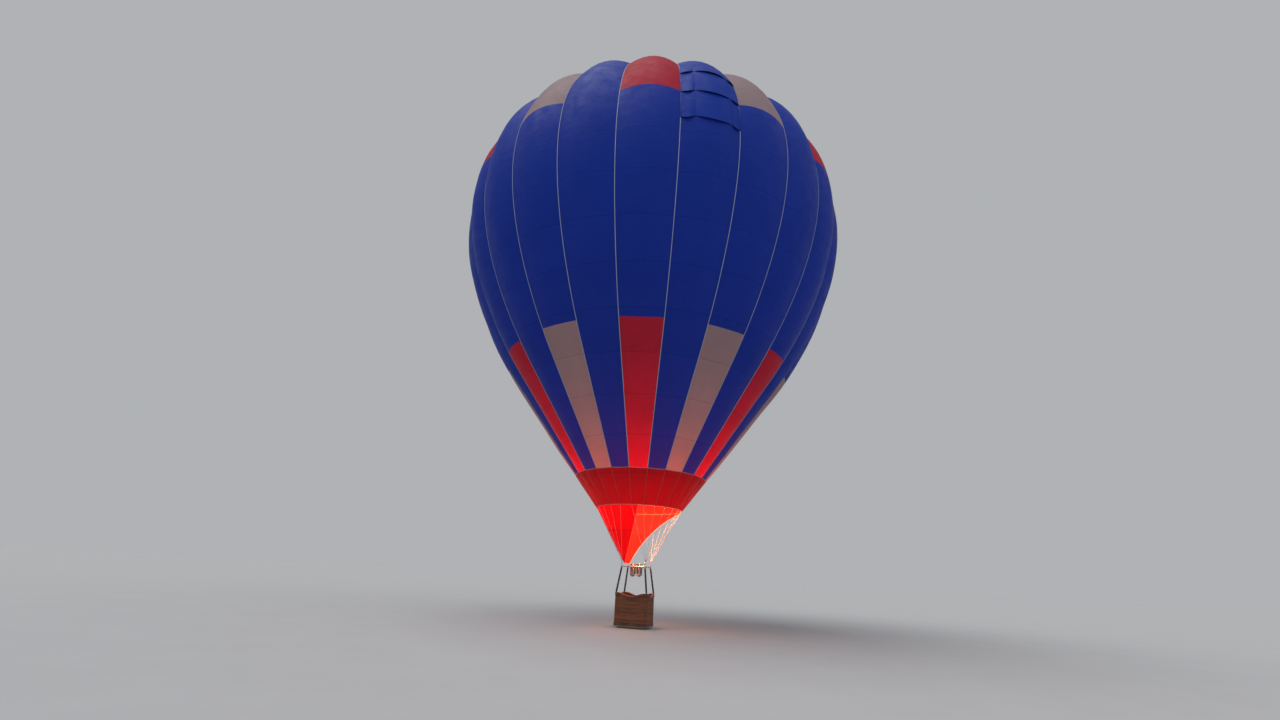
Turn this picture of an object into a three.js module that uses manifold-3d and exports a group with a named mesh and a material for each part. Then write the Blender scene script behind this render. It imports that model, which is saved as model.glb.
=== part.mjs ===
// Hot air balloon, inflated, standing on its basket.
// Millimetres, +Z up, origin at the middle of the basket's underside, front at -Y.
// An azimuth is in degrees, from the front (-Y) round towards +X.
// A distance is measured along the envelope's meridian, up from the mouth.

import * as THREE from 'three';
import { mergeVertices } from 'three/addons/utils/BufferGeometryUtils.js';
import Module from 'manifold-3d';

const wasm = await Module();
wasm.setup();

// Envelope: the meridian is a straight cone, then two Bezier curves that meet upright at the equator
const FABRIC = 10;
const MOUTH_RADIUS = 1650;
const MOUTH_HEIGHT = 4070;
const CONE_TOP_RADIUS = 5190;
const CONE_TOP_HEIGHT = 8760;
const EQUATOR_RADIUS = 8040;
const EQUATOR_HEIGHT = 15910;
const CROWN_HEIGHT = 22490;
const CONE_HANDLE = 2340;
const EQUATOR_LOWER_HANDLE = 2620;
const EQUATOR_UPPER_HANDLE = 3700;
const CROWN_HANDLE = 5290;

// Gores: fabric strips that stand proud between their seams
const GORE_COUNT = 24;
const GORE_STEPS_ACROSS = 3;
const GORE_RISE = 0.022;          // at mid gore, as a share of the radius
const CROWN_GORE_RISE = 0.034;    // the same near the crown, where the gores stand prouder
const CROWN_RISE_DISTANCE = 5000; // distance above the equator over which the rise grows to that
const MOUTH_RISE_RUN_IN = 2600;   // distance over which the rise comes in at the mouth
const CROWN_RISE_RUN_IN = 1700;   // distance over which it dies away at the crown opening
const BAND_TOP_HEIGHT = 5220;     // the lower band ends and the gores begin
const STRIPE_TOP_HEIGHT = 9490;   // the coloured lower stripes end
const PATCH_BASE_HEIGHT = 16960;  // the coloured crown patches begin

// Crown: an opening in the gores, closed from inside by the parachute
const CROWN_OPENING_RADIUS = 2300;
const PARACHUTE_RADIUS = 2650;
const CROWN_MID_RADIUS = 1200;
const CROWN_RING_RADIUS = 150;
const CROWN_RING_ROD = 12;
const CROWN_TAPE_WIDTH = 40;
const CROWN_TAPE_THICKNESS = 5;

// Mouth, flying wires and scoop
const HEM_SIZE = 24;
const WIRE_RADIUS = 4;
const WIRE_INSET = 6;
const WIRES_PER_CORNER = 6;
const WIRE_HEAD_GAP = 1.2;          // at the axis: a slanted end comes closer at its rim
const SCOOP_START_AZIMUTH = 16;
const SCOOP_END_AZIMUTH = -252;
const SCOOP_STEPS = 20;
const SCOOP_ROWS = 5;
const SCOOP_INSET = 14;
const SCOOP_FOOT_HEIGHT = 2120;
const SCOOP_FOOT_RADIUS = 15;
const SCOOP_FOOT_INSET = 105;
const SCOOP_TURN_START_AZIMUTH = -70; // from here the foot crosses from the front corner to the back
const SCOOP_TURN_END_AZIMUTH = -110;
const SCOOP_FULL_TO_AZIMUTH = -186;   // beyond this the lower edge arches up to the mouth
const SCOOP_ARCH_SHARE = 0.05;

// Load frame, with a lug, a karabiner and an upright at each corner
const FRAME_HEIGHT = 2020;
const FRAME_LENGTH = 980;
const FRAME_WIDTH = 820;
const FRAME_TUBE_RADIUS = 19;
const FRAME_CORNER_RADIUS = 90;
const LUG_THICKNESS = 10;
const LUG_WIDTH = 44;
const LUG_TOP = 69;
const LUG_HOLE_SIZE = 20;
const LUG_HOLE_TOP = 52;
const KARABINER_ROD = 6;
const KARABINER_BEND = 20;
const KARABINER_STRAIGHT = 60;
const KARABINER_BEND_STEPS = 6;
const KARABINER_SAG_ALLOWANCE = 0.6; // the bend falls this much across the lug or the eye
const EYE_RADIUS = 16;
const EYE_ROD = 5;
const SOCKET_RADIUS = 24;
const SOCKET_DEPTH = 40;

// Burner in its gimbal, heights from the load frame's centre line
const GIMBAL_RADIUS = 320;
const GIMBAL_TUBE_RADIUS = 12;
const PIVOT_RADIUS = 10;
const PIVOT_BORE_RADIUS = 10.6;
const PIVOT_END_GAP = 2;            // from the load frame's pivots to the gimbal ring's tube
const PIVOT_END_INSET = 5;          // the burner's pivots end this far inside their bosses
const BOSS_RADIUS = 20;
const BOSS_LENGTH = 34;
const HOOP_LENGTH = 536;
const HOOP_WIDTH = 290;
const HOOP_TUBE_RADIUS = 10;
const HOOP_CORNER_RADIUS = 60;
const COIL_RADIUS = 112;
const COIL_WALL = 14;
const COIL_SPACING = 250;
const COIL_BASE = -250;
const COIL_TOP = 100;
const COIL_TURNS = 9;
const COIL_GROOVE = 8;
const BLOCK_LENGTH = 420;
const BLOCK_WIDTH = 290;
const STRUT_SPACING = 340;
const STRUT_RADIUS = 7;
const BLOCK_THICKNESS = 30;
const VALVE_BODY = 62;
const VALVE_LEVER_LENGTH = 190;
const VALVE_LEVER_RADIUS = 7;
const VALVE_LEVER_SPLAY = 30;
const VALVE_LEVER_DROP = 12;

// Basket
const BASKET_LENGTH = 1220;
const BASKET_WIDTH = 1020;
const BASKET_CORNER_RADIUS = 110;
const BASKET_WALL = 36;
const BASKET_TOP = 1090;
const BASKET_TOP_DIP = 110;
const RIM_WIDTH = 62;
const RIM_DEPTH = 52;
const RUNNER_HEIGHT = 50;
const RUNNER_WIDTH = 80;
const RUNNER_LENGTH = 1000;
const RUNNER_SPACING = 720;
const FLOOR_THICKNESS = 26;
const UPRIGHT_RADIUS = 34;
const CYLINDER_RADIUS = 140;
const CYLINDER_FOOT_RADIUS = 115;
const CYLINDER_FOOT_HEIGHT = 30;
const CYLINDER_SHOULDER = 60;
const CYLINDER_COLLAR_RADIUS = 95;
const CYLINDER_COLLAR_DEPTH = 8;     // the collar starts this far below the body's top
const CYLINDER_COLLAR_HEIGHT = 90;
const CYLINDER_BODY_TOP = 700;
const CYLINDER_CLEARANCE = 12;

// Pieces that touch keep this much between them
const GAP = 0.3;

const COLOURS = {
  blue: 0x1b3fa6,
  red: 0xc4202c,
  white: 0xd9d2d2,
};

const materials = {
  fabricBlue: new THREE.MeshStandardMaterial({ color: COLOURS.blue, roughness: 0.6, metalness: 0 }),
  fabricRed: new THREE.MeshStandardMaterial({ color: COLOURS.red, roughness: 0.6, metalness: 0 }),
  panels: new THREE.MeshStandardMaterial({
    color: 0xffffff,
    roughness: 0.6,
    metalness: 0,
    vertexColors: true,
  }),
  webbing: new THREE.MeshStandardMaterial({ color: 0xb9a7a2, roughness: 0.8, metalness: 0 }),
  steel: new THREE.MeshStandardMaterial({ color: 0x9a9a9c, roughness: 0.35, metalness: 1 }),
  copper: new THREE.MeshStandardMaterial({ color: 0xa8623c, roughness: 0.4, metalness: 1 }),
  wicker: new THREE.MeshStandardMaterial({ color: 0x6b3d24, roughness: 0.85, metalness: 0 }),
  leather: new THREE.MeshStandardMaterial({ color: 0x4a2620, roughness: 0.6, metalness: 0 }),
  wood: new THREE.MeshStandardMaterial({ color: 0x8a6a45, roughness: 0.7, metalness: 0 }),
  padding: new THREE.MeshStandardMaterial({ color: 0x241a1c, roughness: 0.9, metalness: 0 }),
};

const balloon = new THREE.Group();

function addPiece(name, geometry, material, parent = balloon) {
  const piece = new THREE.Mesh(geometry, material);
  piece.name = name;
  parent.add(piece);
  return piece;
}

// Solids: shared vertices are merged before a join or a cut
function toSolid(geometry) {
  const bare = geometry.clone();
  bare.deleteAttribute('normal');
  bare.deleteAttribute('uv');
  const merged = mergeVertices(bare, 1e-3);
  return new wasm.Manifold(new wasm.Mesh({
    numProp: 3,
    vertProperties: merged.attributes.position.array,
    triVerts: Uint32Array.from(merged.index.array),
  }));
}

function joined(geometries, cuts = []) {
  let solid = toSolid(geometries[0]);
  for (const geometry of geometries.slice(1)) {
    solid = solid.add(toSolid(geometry));
  }
  for (const geometry of cuts) {
    solid = solid.subtract(toSolid(geometry));
  }
  const mesh = solid.getMesh();
  const result = new THREE.BufferGeometry();
  result.setAttribute('position', new THREE.BufferAttribute(Float32Array.from(mesh.vertProperties), 3));
  result.setIndex(Array.from(mesh.triVerts));
  result.computeVertexNormals();
  return result;
}

function geometryOf(points, faces) {
  const positions = points.flatMap((point) => [point.x, point.y, point.z]);
  let volume = 0;
  for (let i = 0; i < faces.length; i += 3) {
    const [a, b, c] = [points[faces[i]], points[faces[i + 1]], points[faces[i + 2]]];
    volume += a.dot(b.clone().cross(c));
  }
  const outward = volume > 0 ? faces : [...faces].reverse();
  const geometry = new THREE.BufferGeometry();
  geometry.setAttribute('position', new THREE.Float32BufferAttribute(positions, 3));
  geometry.setIndex(outward);
  geometry.computeVertexNormals();
  return geometry;
}

// A sheet with thickness. pairAt(row, column) gives its outer and its inner point there.
// As a ring, its last column runs on into its first.
function sheetGeometry(rows, columns, isRing, pairAt) {
  const columnPoints = isRing ? columns : columns + 1;
  const points = [];
  for (let row = 0; row <= rows; row += 1) {
    for (let column = 0; column < columnPoints; column += 1) {
      points.push(...pairAt(row, column));
    }
  }
  const outer = (row, column) => 2 * (row * columnPoints + (column % columnPoints));
  const inner = (row, column) => outer(row, column) + 1;
  const faces = [];
  const addQuad = (a, b, c, d) => faces.push(a, b, c, a, c, d);
  for (let column = 0; column < columns; column += 1) {
    const next = column + 1;
    for (let row = 0; row < rows; row += 1) {
      const above = row + 1;
      addQuad(outer(row, column), outer(row, next), outer(above, next), outer(above, column));
      addQuad(inner(above, column), inner(above, next), inner(row, next), inner(row, column));
    }
    addQuad(inner(0, column), inner(0, next), outer(0, next), outer(0, column));
    addQuad(outer(rows, column), outer(rows, next), inner(rows, next), inner(rows, column));
  }
  for (let row = 0; row < rows && !isRing; row += 1) {
    addQuad(outer(row, 0), outer(row + 1, 0), inner(row + 1, 0), inner(row, 0));
    addQuad(inner(row, columns), inner(row + 1, columns), outer(row + 1, columns), outer(row, columns));
  }
  return geometryOf(points, faces);
}

// A round rod that closes on itself. Each station has a centre and a direction away from the loop's inside.
function loopRod(stations, radius, sides, across) {
  const points = [];
  for (const { centre, outward } of stations) {
    for (let side = 0; side < sides; side += 1) {
      const angle = (2 * Math.PI * (side + 0.5)) / sides;
      points.push(centre.clone()
        .addScaledVector(outward, radius * Math.cos(angle))
        .addScaledVector(across, radius * Math.sin(angle)));
    }
  }
  const faces = [];
  const at = (station, side) => (station % stations.length) * sides + (side % sides);
  for (let station = 0; station < stations.length; station += 1) {
    for (let side = 0; side < sides; side += 1) {
      faces.push(at(station, side), at(station + 1, side), at(station + 1, side + 1));
      faces.push(at(station, side), at(station + 1, side + 1), at(station, side + 1));
    }
  }
  return geometryOf(points, faces);
}

const UP = new THREE.Vector3(0, 0, 1);

// Stations round a rectangle with rounded corners, from the front edge's middle towards +X
function roundedRectangle(length, width, cornerRadius, cornerSteps, sideSteps) {
  const stations = [];
  const reachX = length / 2 - cornerRadius;
  const reachY = width / 2 - cornerRadius;
  const corners = [
    [reachX, -reachY, -90],
    [reachX, reachY, 0],
    [-reachX, reachY, 90],
    [-reachX, -reachY, 180],
  ];
  corners.forEach(([x, y, startAngle], index) => {
    for (let step = 0; step <= cornerSteps; step += 1) {
      const angle = THREE.MathUtils.degToRad(startAngle + (90 * step) / cornerSteps);
      const outward = new THREE.Vector3(Math.cos(angle), Math.sin(angle), 0);
      const centre = new THREE.Vector3(x, y, 0).addScaledVector(outward, cornerRadius);
      stations.push({ centre, outward, alongSide: 0 });
    }
    const [nextX, nextY] = corners[(index + 1) % corners.length];
    const outward = stations[stations.length - 1].outward;
    const sideStart = stations[stations.length - 1].centre;
    const sideEnd = new THREE.Vector3(nextX, nextY, 0).addScaledVector(outward, cornerRadius);
    for (let step = 1; step < sideSteps; step += 1) {
      const share = step / sideSteps;
      stations.push({ centre: sideStart.clone().lerp(sideEnd, share), outward, alongSide: share });
    }
  });
  return stations;
}

function circle(radius, steps) {
  const stations = [];
  for (let step = 0; step < steps; step += 1) {
    const angle = (2 * Math.PI * step) / steps;
    const outward = new THREE.Vector3(Math.cos(angle), Math.sin(angle), 0);
    stations.push({ centre: outward.clone().multiplyScalar(radius), outward });
  }
  return stations;
}

function rodBetween(start, end, radius, sides) {
  const length = start.distanceTo(end);
  const rod = new THREE.CylinderGeometry(radius, radius, length, sides);
  const direction = end.clone().sub(start).normalize();
  rod.applyQuaternion(new THREE.Quaternion().setFromUnitVectors(new THREE.Vector3(0, 1, 0), direction));
  const middle = start.clone().add(end).multiplyScalar(0.5);
  return rod.translate(middle.x, middle.y, middle.z);
}

// A post whose two ends are level, though it leans
function leaningPost(foot, head, radius, sides) {
  const points = [foot, head];
  for (const centre of [foot, head]) {
    for (let side = 0; side < sides; side += 1) {
      const angle = (2 * Math.PI * side) / sides;
      points.push(new THREE.Vector3(radius * Math.cos(angle), radius * Math.sin(angle), 0).add(centre));
    }
  }
  const faces = [];
  for (let side = 0; side < sides; side += 1) {
    const next = (side + 1) % sides;
    const [low, lowNext] = [2 + side, 2 + next];
    const [high, highNext] = [low + sides, lowNext + sides];
    faces.push(0, lowNext, low, 1, high, highNext, low, lowNext, highNext, low, highNext, high);
  }
  return geometryOf(points, faces);
}

function box(sizeX, sizeY, sizeZ, x, y, z) {
  return new THREE.BoxGeometry(sizeX, sizeY, sizeZ).translate(x, y, z);
}

function onAzimuth(azimuth, radius, height) {
  const angle = THREE.MathUtils.degToRad(azimuth);
  return new THREE.Vector3(radius * Math.sin(angle), -radius * Math.cos(angle), height);
}

// Meridian
const mouthPoint = new THREE.Vector2(MOUTH_RADIUS, MOUTH_HEIGHT);
const coneTopPoint = new THREE.Vector2(CONE_TOP_RADIUS, CONE_TOP_HEIGHT);
const coneDirection = coneTopPoint.clone().sub(mouthPoint).normalize();
const equatorPoint = new THREE.Vector2(EQUATOR_RADIUS, EQUATOR_HEIGHT);
const meridian = new THREE.CurvePath();
meridian.add(new THREE.LineCurve(mouthPoint, coneTopPoint));
meridian.add(new THREE.CubicBezierCurve(
  coneTopPoint,
  coneTopPoint.clone().addScaledVector(coneDirection, CONE_HANDLE),
  new THREE.Vector2(EQUATOR_RADIUS, EQUATOR_HEIGHT - EQUATOR_LOWER_HANDLE),
  equatorPoint,
));
meridian.add(new THREE.CubicBezierCurve(
  equatorPoint,
  new THREE.Vector2(EQUATOR_RADIUS, EQUATOR_HEIGHT + EQUATOR_UPPER_HANDLE),
  new THREE.Vector2(CROWN_HANDLE, CROWN_HEIGHT),
  new THREE.Vector2(0, CROWN_HEIGHT),
));
const MERIDIAN_LENGTH = meridian.getLength();
const EQUATOR_DISTANCE = meridian.getCurveLengths()[1];

// The point at a distance, and the way out of the envelope there. Below the mouth the cone runs on.
function meridianAt(distance) {
  const reach = 1;
  const clamped = THREE.MathUtils.clamp(distance, 0, MERIDIAN_LENGTH);
  const point = meridian.getPoint(clamped / MERIDIAN_LENGTH);
  const before = meridian.getPoint(Math.max(0, clamped - reach) / MERIDIAN_LENGTH);
  const after = meridian.getPoint(Math.min(MERIDIAN_LENGTH, clamped + reach) / MERIDIAN_LENGTH);
  const along = after.sub(before).normalize();
  point.addScaledVector(along, distance - clamped);
  return { point, out: new THREE.Vector2(along.y, -along.x) };
}

function distanceWhere(isBelow, low, high) {
  for (let turn = 0; turn < 50; turn += 1) {
    const middle = (low + high) / 2;
    if (isBelow(meridianAt(middle).point)) {
      low = middle;
    } else {
      high = middle;
    }
  }
  return (low + high) / 2;
}

const distanceAtHeight = (height) => distanceWhere((p) => p.y < height, 0, MERIDIAN_LENGTH);
const crownDistance = (radius) => distanceWhere((p) => p.x > radius, EQUATOR_DISTANCE, MERIDIAN_LENGTH);

const BAND_TOP = distanceAtHeight(BAND_TOP_HEIGHT);
const STRIPE_TOP = distanceAtHeight(STRIPE_TOP_HEIGHT);
const PATCH_BASE = distanceAtHeight(PATCH_BASE_HEIGHT);
const PARACHUTE_EDGE = crownDistance(PARACHUTE_RADIUS);
const OPENING_EDGE = crownDistance(CROWN_OPENING_RADIUS);

function riseAt(distance, radius) {
  const fromMouth = THREE.MathUtils.smoothstep(distance, 0, MOUTH_RISE_RUN_IN);
  const fromCrown = THREE.MathUtils.smoothstep(PARACHUTE_EDGE - distance, 0, CROWN_RISE_RUN_IN);
  const aboveEquator = THREE.MathUtils.smoothstep(distance - EQUATOR_DISTANCE, 0, CROWN_RISE_DISTANCE);
  const share = THREE.MathUtils.lerp(GORE_RISE, CROWN_GORE_RISE, aboveEquator);
  return share * radius * fromMouth * fromCrown;
}

// A point of the fabric. across runs from -1 to 1 between a gore's seams, and depth from the outside in.
function fabricPoint(azimuth, distance, across, depth) {
  const { point, out } = meridianAt(distance);
  const lift = riseAt(distance, point.x) * (1 - across * across) - depth;
  return onAzimuth(azimuth, point.x + lift * out.x, point.y + lift * out.y);
}

const GORE_ANGLE = 360 / GORE_COUNT;

function stepsBetween(start, end, count) {
  return Array.from({ length: count }, (_, index) => start + ((end - start) * (index + 1)) / count);
}

// Rows of a gore: each stretch has its end and its number of steps
const goreRows = [BAND_TOP + GAP / 2];
for (const [end, count] of [[STRIPE_TOP, 3], [PATCH_BASE, 6], [PARACHUTE_EDGE, 5], [OPENING_EDGE, 1]]) {
  goreRows.push(...stepsBetween(goreRows[goreRows.length - 1], end, count));
}

function goreGeometry(centreAzimuth) {
  return sheetGeometry(goreRows.length - 1, GORE_STEPS_ACROSS, false, (row, column) => {
    const across = (2 * column) / GORE_STEPS_ACROSS - 1;
    const azimuth = centreAzimuth + (across * GORE_ANGLE) / 2;
    const side = onAzimuth(azimuth + 90, -across * (GAP / 2), 0);
    const isEdge = Math.abs(across) === 1;
    return [0, FABRIC].map((depth) => {
      const point = fabricPoint(azimuth, goreRows[row], across, depth);
      return isEdge ? point.add(side) : point;
    });
  });
}

// Panel colours: a coloured gore is blue between its lower stripe and its crown patch
function paintPanels(geometry, stripeColour) {
  const painted = geometry.toNonIndexed();
  const positions = painted.attributes.position;
  const colours = [];
  for (let corner = 0; corner < positions.count; corner += 3) {
    const middle = (positions.getZ(corner) + positions.getZ(corner + 1) + positions.getZ(corner + 2)) / 3;
    const isBlue = middle > STRIPE_TOP_HEIGHT && middle < PATCH_BASE_HEIGHT;
    const colour = new THREE.Color(isBlue ? COLOURS.blue : stripeColour);
    colours.push(...[0, 1, 2].flatMap(() => colour.toArray()));
  }
  painted.setAttribute('color', new THREE.Float32BufferAttribute(colours, 3));
  painted.computeVertexNormals();
  return painted;
}

const GORE_PATTERN = ['blue', 'red', 'blue', 'white'];

for (let index = 0; index < GORE_COUNT; index += 1) {
  const colour = GORE_PATTERN[index % GORE_PATTERN.length];
  const geometry = goreGeometry(index * GORE_ANGLE);
  const name = `gore_${String(index + 1).padStart(2, '0')}`;
  if (colour === 'blue') {
    addPiece(name, geometry, materials.fabricBlue);
  } else {
    addPiece(name, paintPanels(geometry, COLOURS[colour]), materials.panels);
  }
}

// Lower band and its hem, with the gores' own stations round the ring
const BAND_ROWS = [0, BAND_TOP / 2, BAND_TOP - GAP / 2];
const ringStations = GORE_STEPS_ACROSS * GORE_COUNT;
const ringAzimuth = (column) => GORE_ANGLE * (column / GORE_STEPS_ACROSS - 0.5);
const ringAcross = (column) => (2 * (column % GORE_STEPS_ACROSS)) / GORE_STEPS_ACROSS - 1;

addPiece('lower_band', sheetGeometry(BAND_ROWS.length - 1, ringStations, true, (row, column) => (
  [0, FABRIC].map((depth) => fabricPoint(ringAzimuth(column), BAND_ROWS[row], ringAcross(column), depth))
)), materials.fabricRed);

addPiece('mouth_hem', sheetGeometry(1, ringStations, true, (row, column) => {
  const distance = -GAP - HEM_SIZE * (1 - row);
  const depths = [(FABRIC - HEM_SIZE) / 2, (FABRIC + HEM_SIZE) / 2];
  return depths.map((depth) => fabricPoint(ringAzimuth(column), distance, 1, depth));
}), materials.webbing);

// Parachute: its rows stand under the gores' own rows, so that it seats on them along each seam
const PARACHUTE_ROWS = [PARACHUTE_EDGE, OPENING_EDGE, crownDistance(CROWN_MID_RADIUS)];

function parachuteGeometry() {
  const points = [];
  for (const distance of PARACHUTE_ROWS) {
    for (let index = 0; index < GORE_COUNT; index += 1) {
      const azimuth = GORE_ANGLE * (index + 0.5);
      points.push(fabricPoint(azimuth, distance, 1, FABRIC + GAP));
      points.push(fabricPoint(azimuth, distance, 1, 2 * FABRIC + GAP));
    }
  }
  const top = points.push(fabricPoint(0, MERIDIAN_LENGTH, 1, FABRIC + GAP)) - 1;
  const underside = points.push(fabricPoint(0, MERIDIAN_LENGTH, 1, 2 * FABRIC + GAP)) - 1;
  const at = (row, index, layer) => 2 * (row * GORE_COUNT + (index % GORE_COUNT)) + layer;
  const faces = [];
  const addQuad = (a, b, c, d) => faces.push(a, b, c, a, c, d);
  const last = PARACHUTE_ROWS.length - 1;
  for (let i = 0; i < GORE_COUNT; i += 1) {
    for (let row = 0; row < last; row += 1) {
      addQuad(at(row, i, 0), at(row, i + 1, 0), at(row + 1, i + 1, 0), at(row + 1, i, 0));
      addQuad(at(row + 1, i, 1), at(row + 1, i + 1, 1), at(row, i + 1, 1), at(row, i, 1));
    }
    addQuad(at(0, i, 1), at(0, i + 1, 1), at(0, i + 1, 0), at(0, i, 0));
    faces.push(at(last, i, 0), at(last, i + 1, 0), top);
    faces.push(at(last, i + 1, 1), at(last, i, 1), underside);
  }
  return geometryOf(points, faces);
}

addPiece('parachute_panel', parachuteGeometry(), materials.fabricRed);

// Crown ring, with a load tape from every seam across the opening
function crownTape(azimuth) {
  const rows = [...PARACHUTE_ROWS, crownDistance(CROWN_RING_RADIUS)];
  const sideways = onAzimuth(azimuth + 90, 1, 0);
  const heights = [CROWN_TAPE_THICKNESS, 0];
  return sheetGeometry(rows.length - 1, 1, false, (row, column) => heights.map((height) => {
    const point = fabricPoint(azimuth, rows[row], 1, -GAP - height);
    return point.addScaledVector(sideways, CROWN_TAPE_WIDTH * (column - 0.5));
  }));
}

const crownRing = loopRod(circle(CROWN_RING_RADIUS, GORE_COUNT), CROWN_RING_ROD, 6, UP)
  .translate(0, 0, CROWN_HEIGHT + GAP + CROWN_TAPE_THICKNESS / 2);
const crownTapes = Array.from({ length: GORE_COUNT }, (_, index) => crownTape(GORE_ANGLE * (index + 0.5)));
addPiece('crown_ring', joined([crownRing, ...crownTapes]), materials.webbing);

// Load frame corners: the bend's outermost point, and the azimuths of the seams that its wires serve
const bendCentreX = FRAME_LENGTH / 2 - FRAME_TUBE_RADIUS - FRAME_CORNER_RADIUS;
const bendCentreY = FRAME_WIDTH / 2 - FRAME_TUBE_RADIUS - FRAME_CORNER_RADIUS;
const bendReach = FRAME_CORNER_RADIUS * Math.SQRT1_2;
const frameCorners = [
  { name: 'front_right', sideX: 1, sideY: -1, turn: -45, azimuth: 45 },
  { name: 'back_right', sideX: 1, sideY: 1, turn: 45, azimuth: 135 },
  { name: 'back_left', sideX: -1, sideY: 1, turn: 135, azimuth: -135 },
  { name: 'front_left', sideX: -1, sideY: -1, turn: -135, azimuth: -45 },
].map((corner) => ({
  ...corner,
  x: corner.sideX * (bendCentreX + bendReach),
  y: corner.sideY * (bendCentreY + bendReach),
}));

const loadFrame = new THREE.Group();
loadFrame.position.z = FRAME_HEIGHT;
balloon.add(loadFrame);

function placedAtCorner(geometry, corner) {
  return geometry.rotateZ(THREE.MathUtils.degToRad(corner.turn)).translate(corner.x, corner.y, 0);
}

const frameTube = loopRod(roundedRectangle(
  FRAME_LENGTH - 2 * FRAME_TUBE_RADIUS,
  FRAME_WIDTH - 2 * FRAME_TUBE_RADIUS,
  FRAME_CORNER_RADIUS,
  3,
  1,
), FRAME_TUBE_RADIUS, 8, UP);
const lugHoleMiddle = LUG_HOLE_TOP - LUG_HOLE_SIZE / 2;
const frameParts = [frameTube];
const frameCuts = [];
for (const corner of frameCorners) {
  const lug = box(LUG_WIDTH, LUG_THICKNESS, LUG_TOP, 0, 0, LUG_TOP / 2);
  const lugHole = box(LUG_HOLE_SIZE, 3 * LUG_THICKNESS, LUG_HOLE_SIZE, 0, 0, lugHoleMiddle);
  frameParts.push(placedAtCorner(lug, corner));
  frameCuts.push(placedAtCorner(lugHole, corner));
  const socketFoot = new THREE.Vector3(corner.x, corner.y, -SOCKET_DEPTH);
  const socketHead = new THREE.Vector3(corner.x, corner.y, 0);
  frameParts.push(leaningPost(socketFoot, socketHead, SOCKET_RADIUS, 8));
}
for (const side of [-1, 1]) {
  const pivotStart = new THREE.Vector3(side * (FRAME_LENGTH / 2 - FRAME_TUBE_RADIUS), 0, 0);
  const pivotEnd = new THREE.Vector3(side * (GIMBAL_RADIUS + GIMBAL_TUBE_RADIUS + PIVOT_END_GAP), 0, 0);
  frameParts.push(rodBetween(pivotStart, pivotEnd, PIVOT_RADIUS, 12));
}
addPiece('load_frame', joined(frameParts, frameCuts), materials.steel, loadFrame);

// Karabiners: a long link through each lug, with the wires' eye in its upper bend
const karabinerLow = LUG_HOLE_TOP - GAP - KARABINER_SAG_ALLOWANCE - KARABINER_ROD;
const karabinerHigh = karabinerLow + 2 * KARABINER_BEND + KARABINER_STRAIGHT;

function karabinerStations() {
  const stations = [];
  const bends = [[karabinerLow + KARABINER_BEND, 180], [karabinerHigh - KARABINER_BEND, 0]];
  for (const [bendHeight, startAngle] of bends) {
    for (let step = 0; step <= KARABINER_BEND_STEPS; step += 1) {
      const angle = THREE.MathUtils.degToRad(startAngle + (180 * step) / KARABINER_BEND_STEPS);
      const outward = new THREE.Vector3(0, Math.cos(angle), Math.sin(angle));
      const centre = new THREE.Vector3(0, 0, bendHeight).addScaledVector(outward, KARABINER_BEND);
      stations.push({ centre, outward });
    }
  }
  return stations;
}

for (const corner of frameCorners) {
  const link = loopRod(karabinerStations(), KARABINER_ROD, 6, new THREE.Vector3(1, 0, 0));
  const piece = addPiece(`karabiner_${corner.name}`, link, materials.steel, loadFrame);
  piece.position.set(corner.x, corner.y, 0);
  piece.rotation.z = THREE.MathUtils.degToRad(corner.turn);
}

// Flying wires: from each corner's eye to the hem, one under each of its seams
const eyeHeight = karabinerHigh - KARABINER_ROD - KARABINER_SAG_ALLOWANCE - GAP - EYE_ROD + EYE_RADIUS;
const wireTop = -GAP - HEM_SIZE - WIRE_HEAD_GAP;

for (const corner of frameCorners) {
  const eyeStations = circle(EYE_RADIUS, 12).map(({ centre, outward }) => ({
    centre: new THREE.Vector3(centre.x, 0, centre.y),
    outward: new THREE.Vector3(outward.x, 0, outward.y),
  }));
  const eye = placedAtCorner(loopRod(eyeStations, EYE_ROD, 6, new THREE.Vector3(0, 1, 0)), corner)
    .translate(0, 0, FRAME_HEIGHT + eyeHeight);
  const wireFoot = new THREE.Vector3(corner.x, corner.y, FRAME_HEIGHT + eyeHeight + EYE_RADIUS);
  const wires = Array.from({ length: WIRES_PER_CORNER }, (_, index) => {
    const azimuth = corner.azimuth + GORE_ANGLE * (index - (WIRES_PER_CORNER - 1) / 2);
    const wireHead = fabricPoint(azimuth, wireTop, 1, FABRIC / 2 + WIRE_INSET);
    return rodBetween(wireFoot, wireHead, WIRE_RADIUS, 6);
  });
  addPiece(`flying_wires_${corner.name}`, joined([eye, ...wires]), materials.steel);
}

// Scoop: hangs from the hem inside the wires, down to the load frame's two left corners
const scoopCorners = frameCorners.filter((corner) => corner.sideX < 0);
const scoopBack = scoopCorners.find((corner) => corner.sideY > 0);
const scoopFront = scoopCorners.find((corner) => corner.sideY < 0);

function scoopPoint(azimuth, share, depth) {
  const toBack = THREE.MathUtils.smoothstep(-azimuth, -SCOOP_TURN_START_AZIMUTH, -SCOOP_TURN_END_AZIMUTH);
  const inward = SCOOP_FOOT_INSET * Math.SQRT1_2;
  const footX = scoopFront.x + inward;
  const footY = THREE.MathUtils.lerp(scoopFront.y + inward, scoopBack.y - inward, toBack);
  const head = fabricPoint(azimuth, -2 * GAP - HEM_SIZE, 1, SCOOP_INSET + FABRIC / 2 + depth);
  const foot = onAzimuth(azimuth, SCOOP_FOOT_RADIUS - depth, SCOOP_FOOT_HEIGHT)
    .add(new THREE.Vector3(footX, footY, 0));
  return head.lerp(foot, share);
}

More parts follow.
